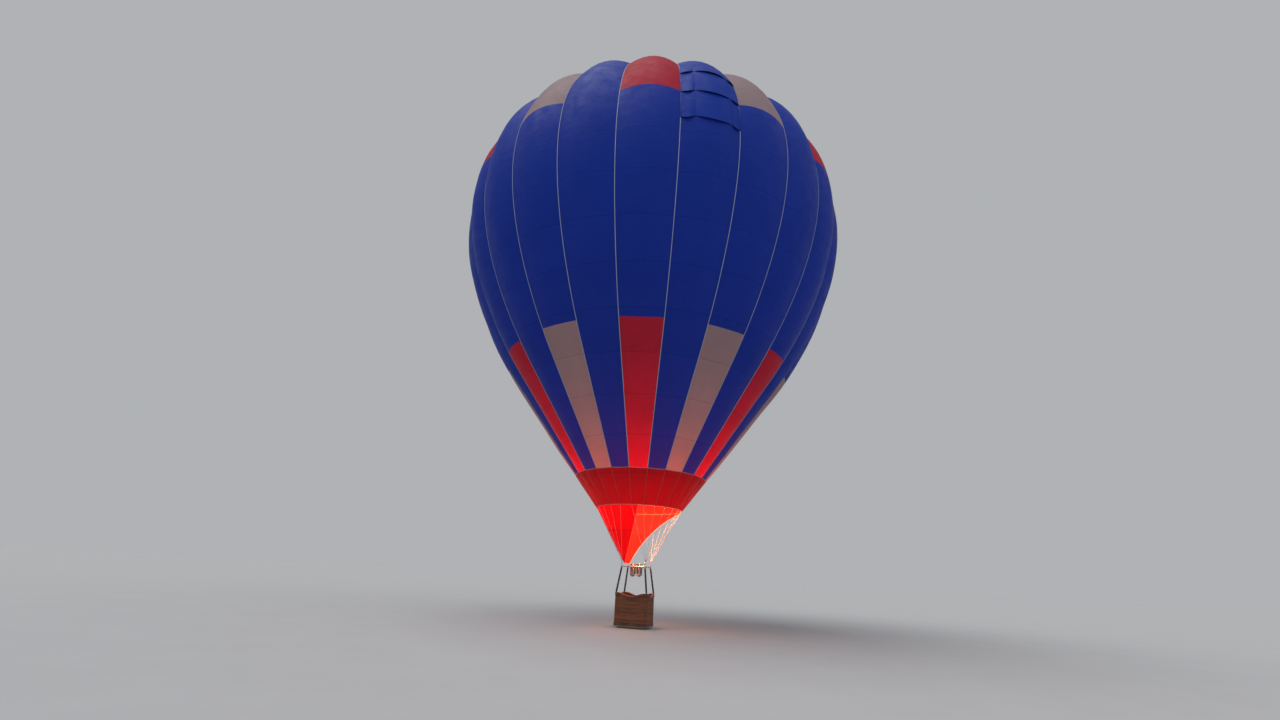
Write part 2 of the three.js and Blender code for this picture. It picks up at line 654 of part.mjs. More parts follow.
function scoopDrop(azimuth) {
  const past = (SCOOP_FULL_TO_AZIMUTH - azimuth) / (SCOOP_FULL_TO_AZIMUTH - SCOOP_END_AZIMUTH);
  if (past <= 0) {
    return 1;
  }
  return SCOOP_ARCH_SHARE + (1 - SCOOP_ARCH_SHARE) * (1 - past) ** 3;
}

addPiece('scoop', sheetGeometry(SCOOP_ROWS, SCOOP_STEPS, false, (row, column) => {
  const azimuth = SCOOP_START_AZIMUTH + ((SCOOP_END_AZIMUTH - SCOOP_START_AZIMUTH) * column) / SCOOP_STEPS;
  const share = (scoopDrop(azimuth) * row) / SCOOP_ROWS;
  return [0, FABRIC].map((depth) => scoopPoint(azimuth, share, depth));
}), materials.fabricRed);

// Gimbal: the ring tilts about X in the load frame, the burner about Y in the ring
function radialRod(angle, length, radius) {
  const direction = new THREE.Vector3(Math.cos(angle), Math.sin(angle), 0);
  const inner = direction.clone().multiplyScalar(GIMBAL_RADIUS - length / 2);
  const outer = direction.clone().multiplyScalar(GIMBAL_RADIUS + length / 2);
  return rodBetween(inner, outer, radius, 12);
}

const quarterTurns = [0, 1, 2, 3].map((turn) => (turn * Math.PI) / 2);
const gimbalTube = loopRod(circle(GIMBAL_RADIUS, 24), GIMBAL_TUBE_RADIUS, 6, UP);
const bosses = quarterTurns.map((angle) => radialRod(angle, BOSS_LENGTH, BOSS_RADIUS));
const bores = quarterTurns.map((angle) => radialRod(angle, 2 * BOSS_LENGTH, PIVOT_BORE_RADIUS));
const gimbalRing = joined([gimbalTube, ...bosses], bores);
addPiece('gimbal_ring', gimbalRing, materials.steel, loadFrame);

const burner = new THREE.Group();
loadFrame.add(burner);

const blockTop = COIL_BASE - GAP;
const blockMiddle = blockTop - BLOCK_THICKNESS / 2;
const hoopX = HOOP_LENGTH / 2 - HOOP_TUBE_RADIUS;
const hoopY = HOOP_WIDTH / 2 - HOOP_TUBE_RADIUS;
const burnerFrameParts = [
  loopRod(roundedRectangle(2 * hoopX, 2 * hoopY, HOOP_CORNER_RADIUS, 3, 1), HOOP_TUBE_RADIUS, 6, UP),
  box(BLOCK_LENGTH, BLOCK_WIDTH, BLOCK_THICKNESS, 0, 0, blockMiddle),
];
for (const side of [-1, 1]) {
  const pivotStart = new THREE.Vector3(0, side * hoopY, 0);
  const pivotEnd = new THREE.Vector3(0, side * (GIMBAL_RADIUS + BOSS_LENGTH / 2 - PIVOT_END_INSET), 0);
  burnerFrameParts.push(rodBetween(pivotStart, pivotEnd, PIVOT_RADIUS, 12));
  for (const end of [-1, 1]) {
    const strutX = (end * STRUT_SPACING) / 2;
    const strutFoot = new THREE.Vector3(strutX, side * hoopY, blockMiddle);
    const strutHead = new THREE.Vector3(strutX, side * hoopY, 0);
    burnerFrameParts.push(rodBetween(strutFoot, strutHead, STRUT_RADIUS, 6));
  }
}
addPiece('burner_frame', joined(burnerFrameParts), materials.steel, burner);

function coilGeometry() {
  const outline = [];
  const pitch = (COIL_TOP - COIL_BASE) / COIL_TURNS;
  for (let turn = 0; turn < COIL_TURNS; turn += 1) {
    const base = COIL_BASE + turn * pitch;
    outline.push(new THREE.Vector2(COIL_RADIUS - COIL_GROOVE, base));
    outline.push(new THREE.Vector2(COIL_RADIUS, base + pitch / 2));
  }
  outline.push(new THREE.Vector2(COIL_RADIUS - COIL_GROOVE, COIL_TOP));
  outline.push(new THREE.Vector2(COIL_RADIUS - COIL_GROOVE - COIL_WALL, COIL_TOP));
  outline.push(new THREE.Vector2(COIL_RADIUS - COIL_GROOVE - COIL_WALL, COIL_BASE));
  outline.push(outline[0].clone());
  return new THREE.LatheGeometry(outline, 16).rotateX(Math.PI / 2);
}

function valveGeometry(side) {
  const bodyMiddle = blockTop - BLOCK_THICKNESS - GAP - VALVE_BODY / 2;
  const leverStart = new THREE.Vector3(0, 0, bodyMiddle);
  const leverEnd = new THREE.Vector3(
    side * VALVE_LEVER_SPLAY,
    -VALVE_LEVER_LENGTH,
    bodyMiddle - VALVE_LEVER_DROP,
  );
  return joined([
    box(VALVE_BODY, VALVE_BODY, VALVE_BODY, 0, 0, bodyMiddle),
    rodBetween(leverStart, leverEnd, VALVE_LEVER_RADIUS, 6),
  ]);
}

for (const [name, side] of [['left', -1], ['right', 1]]) {
  const coil = addPiece(`burner_coil_${name}`, coilGeometry(), materials.copper, burner);
  coil.position.x = (side * COIL_SPACING) / 2;
  const valve = addPiece(`blast_valve_${name}`, valveGeometry(side), materials.steel, burner);
  valve.position.x = (side * COIL_SPACING) / 2;
}

// Basket: woven wall on a floor with two runners, under a padded rim that dips between its corners
const basketStations = roundedRectangle(BASKET_LENGTH, BASKET_WIDTH, BASKET_CORNER_RADIUS, 3, 4);
const wallBase = RUNNER_HEIGHT + FLOOR_THICKNESS + GAP;
const wallTop = (station) => BASKET_TOP - BASKET_TOP_DIP * Math.sin(Math.PI * station.alongSide) ** 2;

function basketPoint(station, inset, height) {
  return station.centre.clone().addScaledVector(station.outward, -inset).setZ(height);
}

addPiece('basket_wall', sheetGeometry(1, basketStations.length, true, (row, column) => {
  const station = basketStations[column];
  const height = row === 0 ? wallBase : wallTop(station);
  return [0, BASKET_WALL].map((inset) => basketPoint(station, inset, height));
}), materials.wicker);

const rimInset = (BASKET_WALL - RIM_WIDTH) / 2;
addPiece('basket_rim', sheetGeometry(1, basketStations.length, true, (row, column) => {
  const station = basketStations[column];
  const height = wallTop(station) + GAP + row * RIM_DEPTH;
  return [rimInset, rimInset + RIM_WIDTH].map((inset) => basketPoint(station, inset, height));
}), materials.leather);

const floorPoints = basketStations.map(({ centre }) => new THREE.Vector2(centre.x, centre.y));
const floorGeometry = new THREE.ExtrudeGeometry(new THREE.Shape(floorPoints), {
  depth: FLOOR_THICKNESS,
  bevelEnabled: false,
});
addPiece('basket_floor', floorGeometry, materials.wood).position.z = RUNNER_HEIGHT;

for (const [name, side] of [['front', -1], ['back', 1]]) {
  const runner = new THREE.BoxGeometry(RUNNER_LENGTH, RUNNER_WIDTH, RUNNER_HEIGHT - GAP);
  addPiece(`runner_${name}`, runner, materials.wood).position.set(
    0,
    (side * RUNNER_SPACING) / 2,
    (RUNNER_HEIGHT - GAP) / 2,
  );
}

// Uprights: padded poles from the rim's corners to the load frame's sockets
const uprightFootInset = BASKET_CORNER_RADIUS - (BASKET_CORNER_RADIUS - BASKET_WALL / 2) * Math.SQRT1_2;
for (const corner of frameCorners) {
  const foot = new THREE.Vector3(
    corner.sideX * (BASKET_LENGTH / 2 - uprightFootInset),
    corner.sideY * (BASKET_WIDTH / 2 - uprightFootInset),
    BASKET_TOP + RIM_DEPTH + 2 * GAP,
  );
  const head = new THREE.Vector3(corner.x, corner.y, FRAME_HEIGHT - SOCKET_DEPTH - GAP);
  addPiece(`upright_${corner.name}`, leaningPost(foot, head, UPRIGHT_RADIUS, 10), materials.padding);
}

// Fuel cylinders: one in each corner of the basket
const cylinderOutline = [
  [0, 0],
  [CYLINDER_FOOT_RADIUS, 0],
  [CYLINDER_RADIUS, CYLINDER_FOOT_HEIGHT],
  [CYLINDER_RADIUS, CYLINDER_BODY_TOP - CYLINDER_SHOULDER],
  [CYLINDER_COLLAR_RADIUS, CYLINDER_BODY_TOP - CYLINDER_COLLAR_DEPTH],
  [CYLINDER_COLLAR_RADIUS, CYLINDER_BODY_TOP + CYLINDER_COLLAR_HEIGHT],
  [0, CYLINDER_BODY_TOP + CYLINDER_COLLAR_HEIGHT],
].map(([radius, height]) => new THREE.Vector2(radius, height));
const cylinderInset = BASKET_WALL + CYLINDER_RADIUS + CYLINDER_CLEARANCE;
for (const corner of frameCorners) {
  const geometry = new THREE.LatheGeometry(cylinderOutline, 14).rotateX(Math.PI / 2);
  addPiece(`fuel_cylinder_${corner.name}`, geometry, materials.steel).position.set(
    corner.sideX * (BASKET_LENGTH / 2 - cylinderInset),
    corner.sideY * (BASKET_WIDTH / 2 - cylinderInset),
    wallBase,
  );
}

export default balloon;
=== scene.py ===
# Looks of the hot air balloon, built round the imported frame.
# Metres, +Z up, origin at the middle of the basket's underside, front at -Y.
# An azimuth is in degrees, from the front (-Y) round towards +X.
# A distance is measured along the envelope's meridian, up from the mouth.

import math
from itertools import product

import bpy
import numpy as np
from mathutils import Matrix, Vector


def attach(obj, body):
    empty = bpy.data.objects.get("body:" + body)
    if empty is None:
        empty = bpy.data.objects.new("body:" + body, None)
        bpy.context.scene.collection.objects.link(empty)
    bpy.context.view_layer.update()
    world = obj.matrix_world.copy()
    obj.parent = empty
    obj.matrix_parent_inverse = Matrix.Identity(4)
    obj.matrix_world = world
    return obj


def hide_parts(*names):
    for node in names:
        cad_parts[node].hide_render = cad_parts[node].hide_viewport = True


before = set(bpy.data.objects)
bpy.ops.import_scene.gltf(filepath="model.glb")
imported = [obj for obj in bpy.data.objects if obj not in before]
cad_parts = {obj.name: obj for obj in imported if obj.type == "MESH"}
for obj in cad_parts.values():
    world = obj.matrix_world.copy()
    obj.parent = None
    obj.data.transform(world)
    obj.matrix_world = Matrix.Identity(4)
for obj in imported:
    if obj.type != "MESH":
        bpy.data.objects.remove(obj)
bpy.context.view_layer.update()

# Envelope, as in the part's source
CAD_FABRIC = 0.010
MOUTH_RADIUS = 1.65
MOUTH_HEIGHT = 4.07
CONE_TOP_RADIUS = 5.19
CONE_TOP_HEIGHT = 8.76
EQUATOR_RADIUS = 8.04
EQUATOR_HEIGHT = 15.91
CROWN_HEIGHT = 22.49
CONE_HANDLE = 2.34
EQUATOR_LOWER_HANDLE = 2.62
EQUATOR_UPPER_HANDLE = 3.70
CROWN_HANDLE = 5.29
GORE_COUNT = 24
GORE_ANGLE = 360 / GORE_COUNT
GORE_RISE = 0.022
CROWN_GORE_RISE = 0.034
CROWN_RISE_DISTANCE = 5.0
MOUTH_RISE_RUN_IN = 2.6
CROWN_RISE_RUN_IN = 1.7
BAND_TOP_HEIGHT = 5.22
STRIPE_TOP_HEIGHT = 9.49
PATCH_BASE_HEIGHT = 16.96
CROWN_OPENING_RADIUS = 2.30
PARACHUTE_RADIUS = 2.65
CROWN_RING_RADIUS = 0.15
CROWN_RING_ROD = 0.012
GAP = 0.0003

# Cloth and tape of the envelope
CLOTH = 0.003
PANEL_LENGTH = 1.46
PANEL_START = 0.22
RIPSTOP_SQUARE = 1 / 160
TAPE_WIDTH = 0.023
TAPE_THICKNESS = 0.003
PUCKER_HEIGHT = 0.007
PUCKER_LENGTH = 0.42

# How fine the cloth is: lengths of its rows, and columns of each gore in what runs all round
GORE_ROW = 0.10
BAND_ROW = 0.06
TAPE_ROW = 0.14
TAPE_COLUMNS = 12
BAND_COLUMNS = 14
HEM_COLUMNS = 6
PARACHUTE_COLUMNS = 8

# Turning vent: the gore that has it, the lines of its rows of pockets and the columns, across the gore
VENT_GORE = 2
VENT_LINES = (16.60, 15.98, 14.72, 13.50)
VENT_EDGES = (-1.022, -0.56, 0.64, 1.022)
VENT_OPENING = 0.065
VENT_TAPE_COVER = 0.005

# Mouth, flying wires and scoop
HEM_SIZE = 0.024
WIRE_RADIUS = 0.004
WIRE_INSET = 0.006
WIRES_PER_CORNER = 6
HEAD_FITTING = 0.034
HEAD_LINK_HALF_WIDTH = 0.0095
SCOOP_START_AZIMUTH = 16
SCOOP_END_AZIMUTH = -252
SCOOP_TURN_START_AZIMUTH = -70
SCOOP_TURN_END_AZIMUTH = -110
SCOOP_FULL_TO_AZIMUTH = -186
SCOOP_ARCH_SHARE = 0.05
SCOOP_INSET = 0.014
SCOOP_FOOT_HEIGHT = 2.12
SCOOP_FOOT_RADIUS = 0.015
SCOOP_FOOT_INSET = 0.105
SCOOP_LENGTH = 2.35
SCOOP_MIDDLE = 0.005
BINDING_RADIUS = 0.0065

# Load frame
FRAME_HEIGHT = 2.02
FRAME_LENGTH = 0.98
FRAME_WIDTH = 0.82
FRAME_TUBE_RADIUS = 0.019
FRAME_CORNER_RADIUS = 0.09
LUG_WIDTH = 0.044
LUG_THICKNESS = 0.010
LUG_TOP = 0.069
LUG_HOLE_TOP = 0.052
LUG_HOLE_SIZE = 0.020
SOCKET_RADIUS = 0.024
SOCKET_DEPTH = 0.040
KARABINER_ROD = 0.006
KARABINER_BEND = 0.020
KARABINER_STRAIGHT = 0.060
KARABINER_SAG_ALLOWANCE = 0.0006
EYE_RADIUS = 0.016
EYE_ROD = 0.005

# Gimbal and burner
PIVOT_RADIUS = 0.010
PIVOT_BORE_RADIUS = 0.0106
GIMBAL_RADIUS = 0.320
GIMBAL_TUBE_RADIUS = 0.012
BOSS_RADIUS = 0.020
BOSS_LENGTH = 0.034
HOOP_LENGTH = 0.536
HOOP_WIDTH = 0.290
HOOP_TUBE_RADIUS = 0.010
HOOP_CORNER_RADIUS = 0.060
BLOCK_LENGTH = 0.420
BLOCK_WIDTH = 0.290
BLOCK_THICKNESS = 0.030
STRUT_SPACING = 0.340
STRUT_RADIUS = 0.007
COIL_RADIUS = 0.112
COIL_SPACING = 0.250
COIL_BASE = -0.250
COIL_TOP = 0.100
COIL_PIPE_RADIUS = 0.0075
COIL_TURNS = 20
CAN_RADIUS = 0.089
JET_RING_RADIUS = 0.055
VALVE_BODY = 0.062
VALVE_LEVER_LENGTH = 0.190
VALVE_LEVER_SPLAY = 0.030
VALVE_LEVER_DROP = 0.012

# Basket
BASKET_LENGTH = 1.22
BASKET_WIDTH = 1.02
BASKET_CORNER_RADIUS = 0.11
BASKET_WALL = 0.036
BASKET_TOP = 1.09
BASKET_TOP_DIP = 0.11
STAKE_COUNT = 112
STAKE_RADIUS = 0.0080
CANE_RADIUS = 0.0064
WEAVE_ROWS = 86
DARK_ROWS = (14, 15, 16, 38, 39, 40, 62, 63, 64)
WALE_ROWS = (0, 1, 27, 52, 77, 85)
RIM_WIDTH = 0.062
RIM_DEPTH = 0.052
RIM_STATIONS = 220
RIM_TIES = 8
RIM_FIRST_TIE = 13.7
FLAP_DEPTH = 0.052
FLAP_COVER = 0.018
LACE_COUNT = 120
SCUFF_LOW = 0.002
SCUFF_HIGH = 0.105
SCUFF_LACE_HEIGHT = 0.094
FLOOR_THICKNESS = 0.026
RUNNER_HEIGHT = 0.050
RUNNER_WIDTH = 0.080
RUNNER_LENGTH = 1.000
RUNNER_SPACING = 0.720

# Uprights and cylinders
UPRIGHT_RADIUS = 0.034
SLEEVE_SIDES = 28
STRAP_PLACES = (0.16, 0.50, 0.84)
CUFF_PLACES = (0.035, 0.965)
CYLINDER_RADIUS = 0.140
CYLINDER_BODY_TOP = 0.700
CYLINDER_CLEARANCE = 0.012
CYLINDER_SIDES = 56
CYLINDER_STRAP_HEIGHTS = (0.185, 0.500)

# Camera, from the fit to the photo: place, heading right of +Y, tilt up, roll and lens
CAMERA_PLACE = (6.17, -19.88, 1.71)
CAMERA_HEADING = -17.99
CAMERA_TILT = 22.44
CAMERA_ROLL = -3.05
CAMERA_LENS = 14.69

FLOOR_RADIUS = 400
UP = np.array([0, 0, 1.0])


# Materials

def scaled(colour, share):
    return tuple(channel * share for channel in colour)


class Finish:
    """A material in the making. Most methods add nodes and give the socket that comes out of them."""

    def __init__(self, name):
        self.material = bpy.data.materials.new(name)
        self.material.use_nodes = True
        self.tree = self.material.node_tree
        self.tree.nodes.clear()
        self.place = self.add("TexCoord")["Object"]
        self.normal = None

    def add(self, kind, inputs=None, **settings):
        node = self.tree.nodes.new(f"ShaderNode{kind}")
        for key, value in settings.items():
            setattr(node, key, value)
        for key, value in (inputs or {}).items():
            if isinstance(value, bpy.types.NodeSocket):
                self.tree.links.new(value, node.inputs[key])
            else:
                node.inputs[key].default_value = value
        return node.outputs

    def maths(self, operation, first, second=0.0):
        return self.add("Math", {0: first, 1: second}, operation=operation)[0]

    def weighted(self, *terms):
        """Sum of sockets, each given with its weight."""
        total = None
        for value, weight in terms:
            value = value if weight == 1 else self.maths("MULTIPLY", value, weight)
            total = value if total is None else self.maths("ADD", total, value)
        return total

    def zigzag(self, value, length):
        """Runs from 0 to 0.5 and back over each length."""
        return self.maths("PINGPONG", self.maths("DIVIDE", value, length), 0.5)

    def ramp(self, value, low, high, start=0.0, end=1.0):
        inputs = {"Value": value, "From Min": low, "From Max": high, "To Min": start, "To Max": end}
        return self.add("MapRange", inputs, interpolation_type="SMOOTHSTEP")["Result"]

    def noise(self, scale, detail, roughness, place=None):
        place = self.place if place is None else place
        inputs = {"Vector": place, "Scale": scale, "Detail": detail, "Roughness": roughness}
        return self.add("TexNoise", inputs)[0]

    def one_each(self, value):
        """One random number for each whole step of a value."""
        whole = self.maths("FLOOR", value)
        return self.add("TexWhiteNoise", {"W": whole}, noise_dimensions="1D")["Value"]

    def stretched(self, place, scale):
        return self.add("Mapping", {"Vector": place, "Scale": scale})["Vector"]

    def texture_place(self):
        """The texture coordinates, and how far across and along they are."""
        place = self.add("UVMap", uv_map="UVMap")["UV"]
        parts = self.add("SeparateXYZ", {"Vector": place})
        return place, parts["X"], parts["Y"]

    def mix(self, factor, first, second):
        """A blend of two colours, each given as numbers or as a socket."""
        colours = [
            value if isinstance(value, bpy.types.NodeSocket) else (*value, 1) for value in (first, second)
        ]
        return self.add("Mix", {0: factor, 6: colours[0], 7: colours[1]}, data_type="RGBA")[2]

    def shades(self, factor, colour, low, high):
        return self.mix(factor, scaled(colour, low), scaled(colour, high))

    def stain(self, base, mask, strength, colour):
        return self.mix(self.maths("MULTIPLY", mask, strength), base, colour)

    def bump(self, height, strength, distance):
        """Adds relief over the relief that is there."""
        inputs = {"Height": height, "Strength": strength, "Distance": distance}
        if self.normal is not None:
            inputs["Normal"] = self.normal
        self.normal = self.add("Bump", inputs)["Normal"]

    def shader(self, base, roughness, inputs=None):
        inputs = {"Base Color": base, "Roughness": roughness, **(inputs or {})}
        if self.normal is not None:
            inputs["Normal"] = self.normal
        return self.add("BsdfPrincipled", inputs)[0]

    def close(self, shader):
        self.add("OutputMaterial", {"Surface": shader})
        return self.material


def fabric_material(name, colour, lit_colour, see_through, seam_length=PANEL_LENGTH, roughness=0.5):
    """Coated ripstop cloth, which shows lit_colour with light behind it. Its UV map is in metres."""
    finish = Finish(name)
    uv, across, along = finish.texture_place()

    # Each sewn panel has its own slight shade
    panel = finish.maths("DIVIDE", finish.maths("ADD", along, PANEL_START), seam_length)
    tone = finish.weighted((finish.one_each(panel), 0.15), (finish.noise(0.7, 4.0, 0.6), 0.85))
    base = finish.shades(tone, colour, 0.86, 1.12)
    lit = finish.shades(tone, lit_colour, 0.86, 1.12)

    # Panel seams: a folded double row of stitches
    seam_place = finish.maths("MULTIPLY", finish.maths("PINGPONG", panel, 0.5), seam_length)
    seam = finish.ramp(seam_place, 0.007, 0.016, 1.0, 0.0)
    base = finish.stain(base, seam, 0.40, scaled(colour, 0.62))
    lit = finish.stain(lit, seam, 0.50, scaled(lit_colour, 0.4))

    # The soft creases of packed cloth, gathers along the seams and the ripstop grid
    threads = [finish.zigzag(value, RIPSTOP_SQUARE) for value in (across, along)]
    grid = finish.ramp(finish.maths("MINIMUM", *threads), 0.0, 0.14, 1.0, 0.0)
    creases = finish.noise(2.3, 5.0, 0.62)
    gathers = finish.noise(1.1, 2.0, 0.5, finish.stretched(uv, (1.0, 4.0, 1.0)))
    finish.bump(creases, 0.35, 0.05)
    finish.bump(gathers, 0.22, 0.02)
    finish.bump(seam, 0.6, 0.004)
    finish.bump(grid, 0.25, 0.0004)
    worn = finish.ramp(creases, 0.3, 0.75, roughness - 0.08, roughness + 0.12)
    sheen = {"Sheen Weight": 0.02, "Sheen Roughness": 0.4, "Specular IOR Level": 0.08}
    cloth = finish.shader(base, worn, sheen)
    glow = finish.add("BsdfTranslucent", {"Color": lit, "Normal": finish.normal})[0]
    return finish.close(finish.add("MixShader", {0: see_through, 1: cloth, 2: glow})[0])


def webbing_material(name, colour, rib=0.0022):
    """Woven tape with ribs across it. Its UV map is in metres."""
    finish = Finish(name)
    across, along = finish.texture_place()[1:]
    ribs = finish.zigzag(along, rib)
    threads = finish.zigzag(across, 0.5 * rib)
    base = finish.shades(finish.noise(1.8, 4.0, 0.6), colour, 0.72, 1.15)
    base = finish.stain(base, ribs, 0.35, scaled(colour, 0.6))
    finish.bump(finish.weighted((ribs, 1), (threads, 0.5)), 0.6, 0.0006)
    return finish.close(finish.shader(base, 0.8, {"Specular IOR Level": 0.2}))


def metal_material(name, colour, roughness, tint=None, brush_scale=60.0, metallic=1.0):
    """Drawn or brushed metal: fine streaks, uneven gloss and, if given, patches of a second colour."""
    finish = Finish(name)
    streaks = finish.noise(brush_scale, 4.0, 0.6, finish.stretched(finish.place, (1.0, 1.0, 0.08)))
    patches = finish.noise(9.0, 5.0, 0.6)
    base = finish.shades(streaks, colour, 0.82, 1.1)
    if tint is not None:
        base = finish.mix(finish.ramp(patches, 0.38, 0.66), base, tint)
    finish.bump(streaks, 0.12, 0.001)
    rough = finish.ramp(patches, 0.3, 0.7, roughness * 0.75, roughness * 1.35)
    return finish.close(finish.shader(base, rough, {"Metallic": metallic}))


def wood_material(name, light, dark):
    finish = Finish(name)
    grain_place = finish.stretched(finish.place, (1.0, 14.0, 14.0))
    grain = finish.noise(5.0, 6.0, 0.62, grain_place)
    pores = finish.noise(45.0, 2.0, 0.5, grain_place)
    scuffs = finish.ramp(finish.noise(16.0, 5.0, 0.7), 0.58, 0.72)
    base = finish.mix(finish.ramp(grain, 0.3, 0.7), dark, light)
    base = finish.stain(base, scuffs, 0.4, scaled(dark, 0.5))
    finish.bump(grain, 0.3, 0.002)
    finish.bump(pores, 0.25, 0.0006)
    return finish.close(finish.shader(base, finish.ramp(pores, 0.3, 0.7, 0.45, 0.7)))


def cane_material(name, light, dark):
    """Varnished cane. Its UV map is in metres: along each cane and round it."""
    finish = Finish(name)
    fibres = finish.noise(3.0, 3.0, 0.6, finish.stretched(finish.texture_place()[0], (6.0, 420.0, 1.0)))
    height = finish.add("SeparateXYZ", {"Vector": finish.place})["Z"]
    canes = finish.one_each(finish.maths("MULTIPLY", height, 45.0))
    weathering = finish.noise(4.0, 5.0, 0.65)
    tone = finish.weighted((fibres, 0.4), (canes, 0.25), (weathering, 0.45))
    base = finish.mix(finish.ramp(tone, 0.3, 0.85), dark, light)
    finish.bump(fibres, 0.4, 0.0008)
    rough = finish.ramp(weathering, 0.3, 0.7, 0.38, 0.6)
    return finish.close(finish.shader(base, rough, {"Coat Weight": 0.25, "Coat Roughness": 0.3}))


def leather_material(name, colour, worn_colour):
    finish = Finish(name)
    pebbles = finish.add("TexVoronoi", {"Vector": finish.place, "Scale": 420.0})["Distance"]
    wear = finish.noise(7.0, 6.0, 0.68)
    base = finish.mix(finish.ramp(wear, 0.48, 0.7), colour, worn_colour)
    base = finish.stain(base, pebbles, 0.35, scaled(colour, 0.6))
    finish.bump(wear, 0.3, 0.004)
    finish.bump(pebbles, 0.5, 0.0007)
    rough = finish.ramp(wear, 0.4, 0.7, 0.45, 0.72)
    return finish.close(finish.shader(base, rough, {"Specular IOR Level": 0.4}))


def cover_material(name, colour, weave=0.0016):
    """Heavy woven nylon, as on the covers of the uprights and cylinders."""
    finish = Finish(name)
    place = finish.add("SeparateXYZ", {"Vector": finish.place})
    base = finish.shades(finish.ramp(finish.noise(9.0, 5.0, 0.6), 0.35, 0.75), colour, 0.75, 1.7)
    finish.bump(finish.noise(26.0, 3.0, 0.55), 0.25, 0.004)
    finish.bump(finish.weighted(*((finish.zigzag(place[axis], weave), 1) for axis in "XYZ")), 0.35, 0.0005)
    return finish.close(finish.shader(base, 0.85, {"Sheen Weight": 0.3, "Sheen Roughness": 0.5}))


BAND_RED = (0.32, 0.010, 0.016)
fabric_blue = fabric_material("envelope_blue", (0.006, 0.046, 0.42), (0.31, 0.012, 0.12), 0.30)
fabric_red = fabric_material("envelope_red", (0.48, 0.031, 0.068), (0.88, 0.012, 0.012), 0.42)
fabric_white = fabric_material("envelope_white", (0.42, 0.36, 0.395), (0.62, 0.30, 0.20), 0.45)
band_red = fabric_material("band_red", BAND_RED, (0.85, 0.004, 0.012), 0.20)
scoop_red = fabric_material("scoop_red", BAND_RED, (0.85, 0.010, 0.012), 0.31, 1.25, 0.7)
webbing = webbing_material("load_webbing", (0.38, 0.42, 0.52))
hem_webbing = webbing_material("hem_webbing", (0.50, 0.24, 0.22))
red_webbing = webbing_material("red_webbing", (0.46, 0.055, 0.055))
strap_webbing = webbing_material("strap_webbing", (0.030, 0.028, 0.030))
frame_steel = metal_material("frame_steel", (0.56, 0.56, 0.57), 0.30, (0.42, 0.40, 0.38))
wire_steel = metal_material("wire_steel", (0.56, 0.55, 0.54), 0.50, None, 220.0)
coil_steel = metal_material("coil_steel", (0.58, 0.40, 0.30), 0.32, (0.26, 0.17, 0.24), 40.0)
block_alloy = metal_material("block_alloy", (0.34, 0.33, 0.34), 0.42, (0.16, 0.15, 0.16))
brass = metal_material("brass", (0.70, 0.50, 0.24), 0.28, (0.42, 0.27, 0.12))
cylinder_metal = metal_material("cylinder_metal", (0.62, 0.62, 0.63), 0.34, (0.50, 0.49, 0.47), 24.0)
black_paint = metal_material("black_paint", (0.03, 0.03, 0.032), 0.45, (0.06, 0.055, 0.05), 30.0, 0.0)
dial_enamel = metal_material("dial_enamel", (0.75, 0.74, 0.70), 0.3, (0.66, 0.64, 0.58), 30.0, 0.0)
red_paint = metal_material("red_paint", (0.45, 0.02, 0.02), 0.38, (0.28, 0.02, 0.02), 30.0, 0.0)
cane = cane_material("cane", (0.43, 0.142, 0.042), (0.14, 0.038, 0.013))
cane_dark = cane_material("cane_dark", (0.235, 0.072, 0.023), (0.075, 0.023, 0.009))
leather = leather_material("rim_leather", (0.11, 0.035, 0.022), (0.22, 0.085, 0.05))
scuff_leather = leather_material("scuff_leather", (0.075, 0.032, 0.022), (0.17, 0.10, 0.07))
floor_wood = wood_material("floor_wood", (0.42, 0.28, 0.15), (0.24, 0.14, 0.07))
runner_wood = wood_material("runner_wood", (0.36, 0.22, 0.11), (0.16, 0.09, 0.045))
upright_nylon = cover_material("upright_nylon", (0.020, 0.014, 0.018))
jacket_nylon = cover_material("jacket_nylon", (0.018, 0.045, 0.16))


# Meshes

def unit(vector):
    return vector / np.linalg.norm(vector, axis=-1, keepdims=True)


def circle(radius, steps, height=0.0):
    """Points round the Z axis, from +X."""
    angles = 2 * np.pi * np.arange(steps) / steps
    return np.stack([radius * np.cos(angles), radius * np.sin(angles), np.full(steps, height)], axis=1)


def quads(grid):
    """The four corners of every square of a grid [row, column]."""
    corners = np.stack([grid[:-1, :-1], grid[:-1, 1:], grid[1:, 1:], grid[1:, :-1]], axis=2)
    return corners.reshape(-1, 4, *grid.shape[2:])


def numbered(rows, columns, closed):
    """Numbers of a tube's points [ring, step]. Its last step, and its last ring if closed, is the first."""
    numbers = np.arange(rows * columns).reshape(rows, columns)
    return np.pad(numbers, ((0, int(closed)), (0, 1)), mode="wrap")


def metres(across, along):
    """Grid of texture coordinates."""
    return np.stack(np.broadcast_arrays(across, along), axis=-1)


def signed_volume(points, faces):
    fans = [(face[0], face[i], face[i + 1]) for face in faces for i in range(1, len(face) - 1)]
    first, second, third = (points[np.array(fans)] - points.mean(axis=0)).swapaxes(0, 1)
    return np.sum(first * np.cross(second, third))


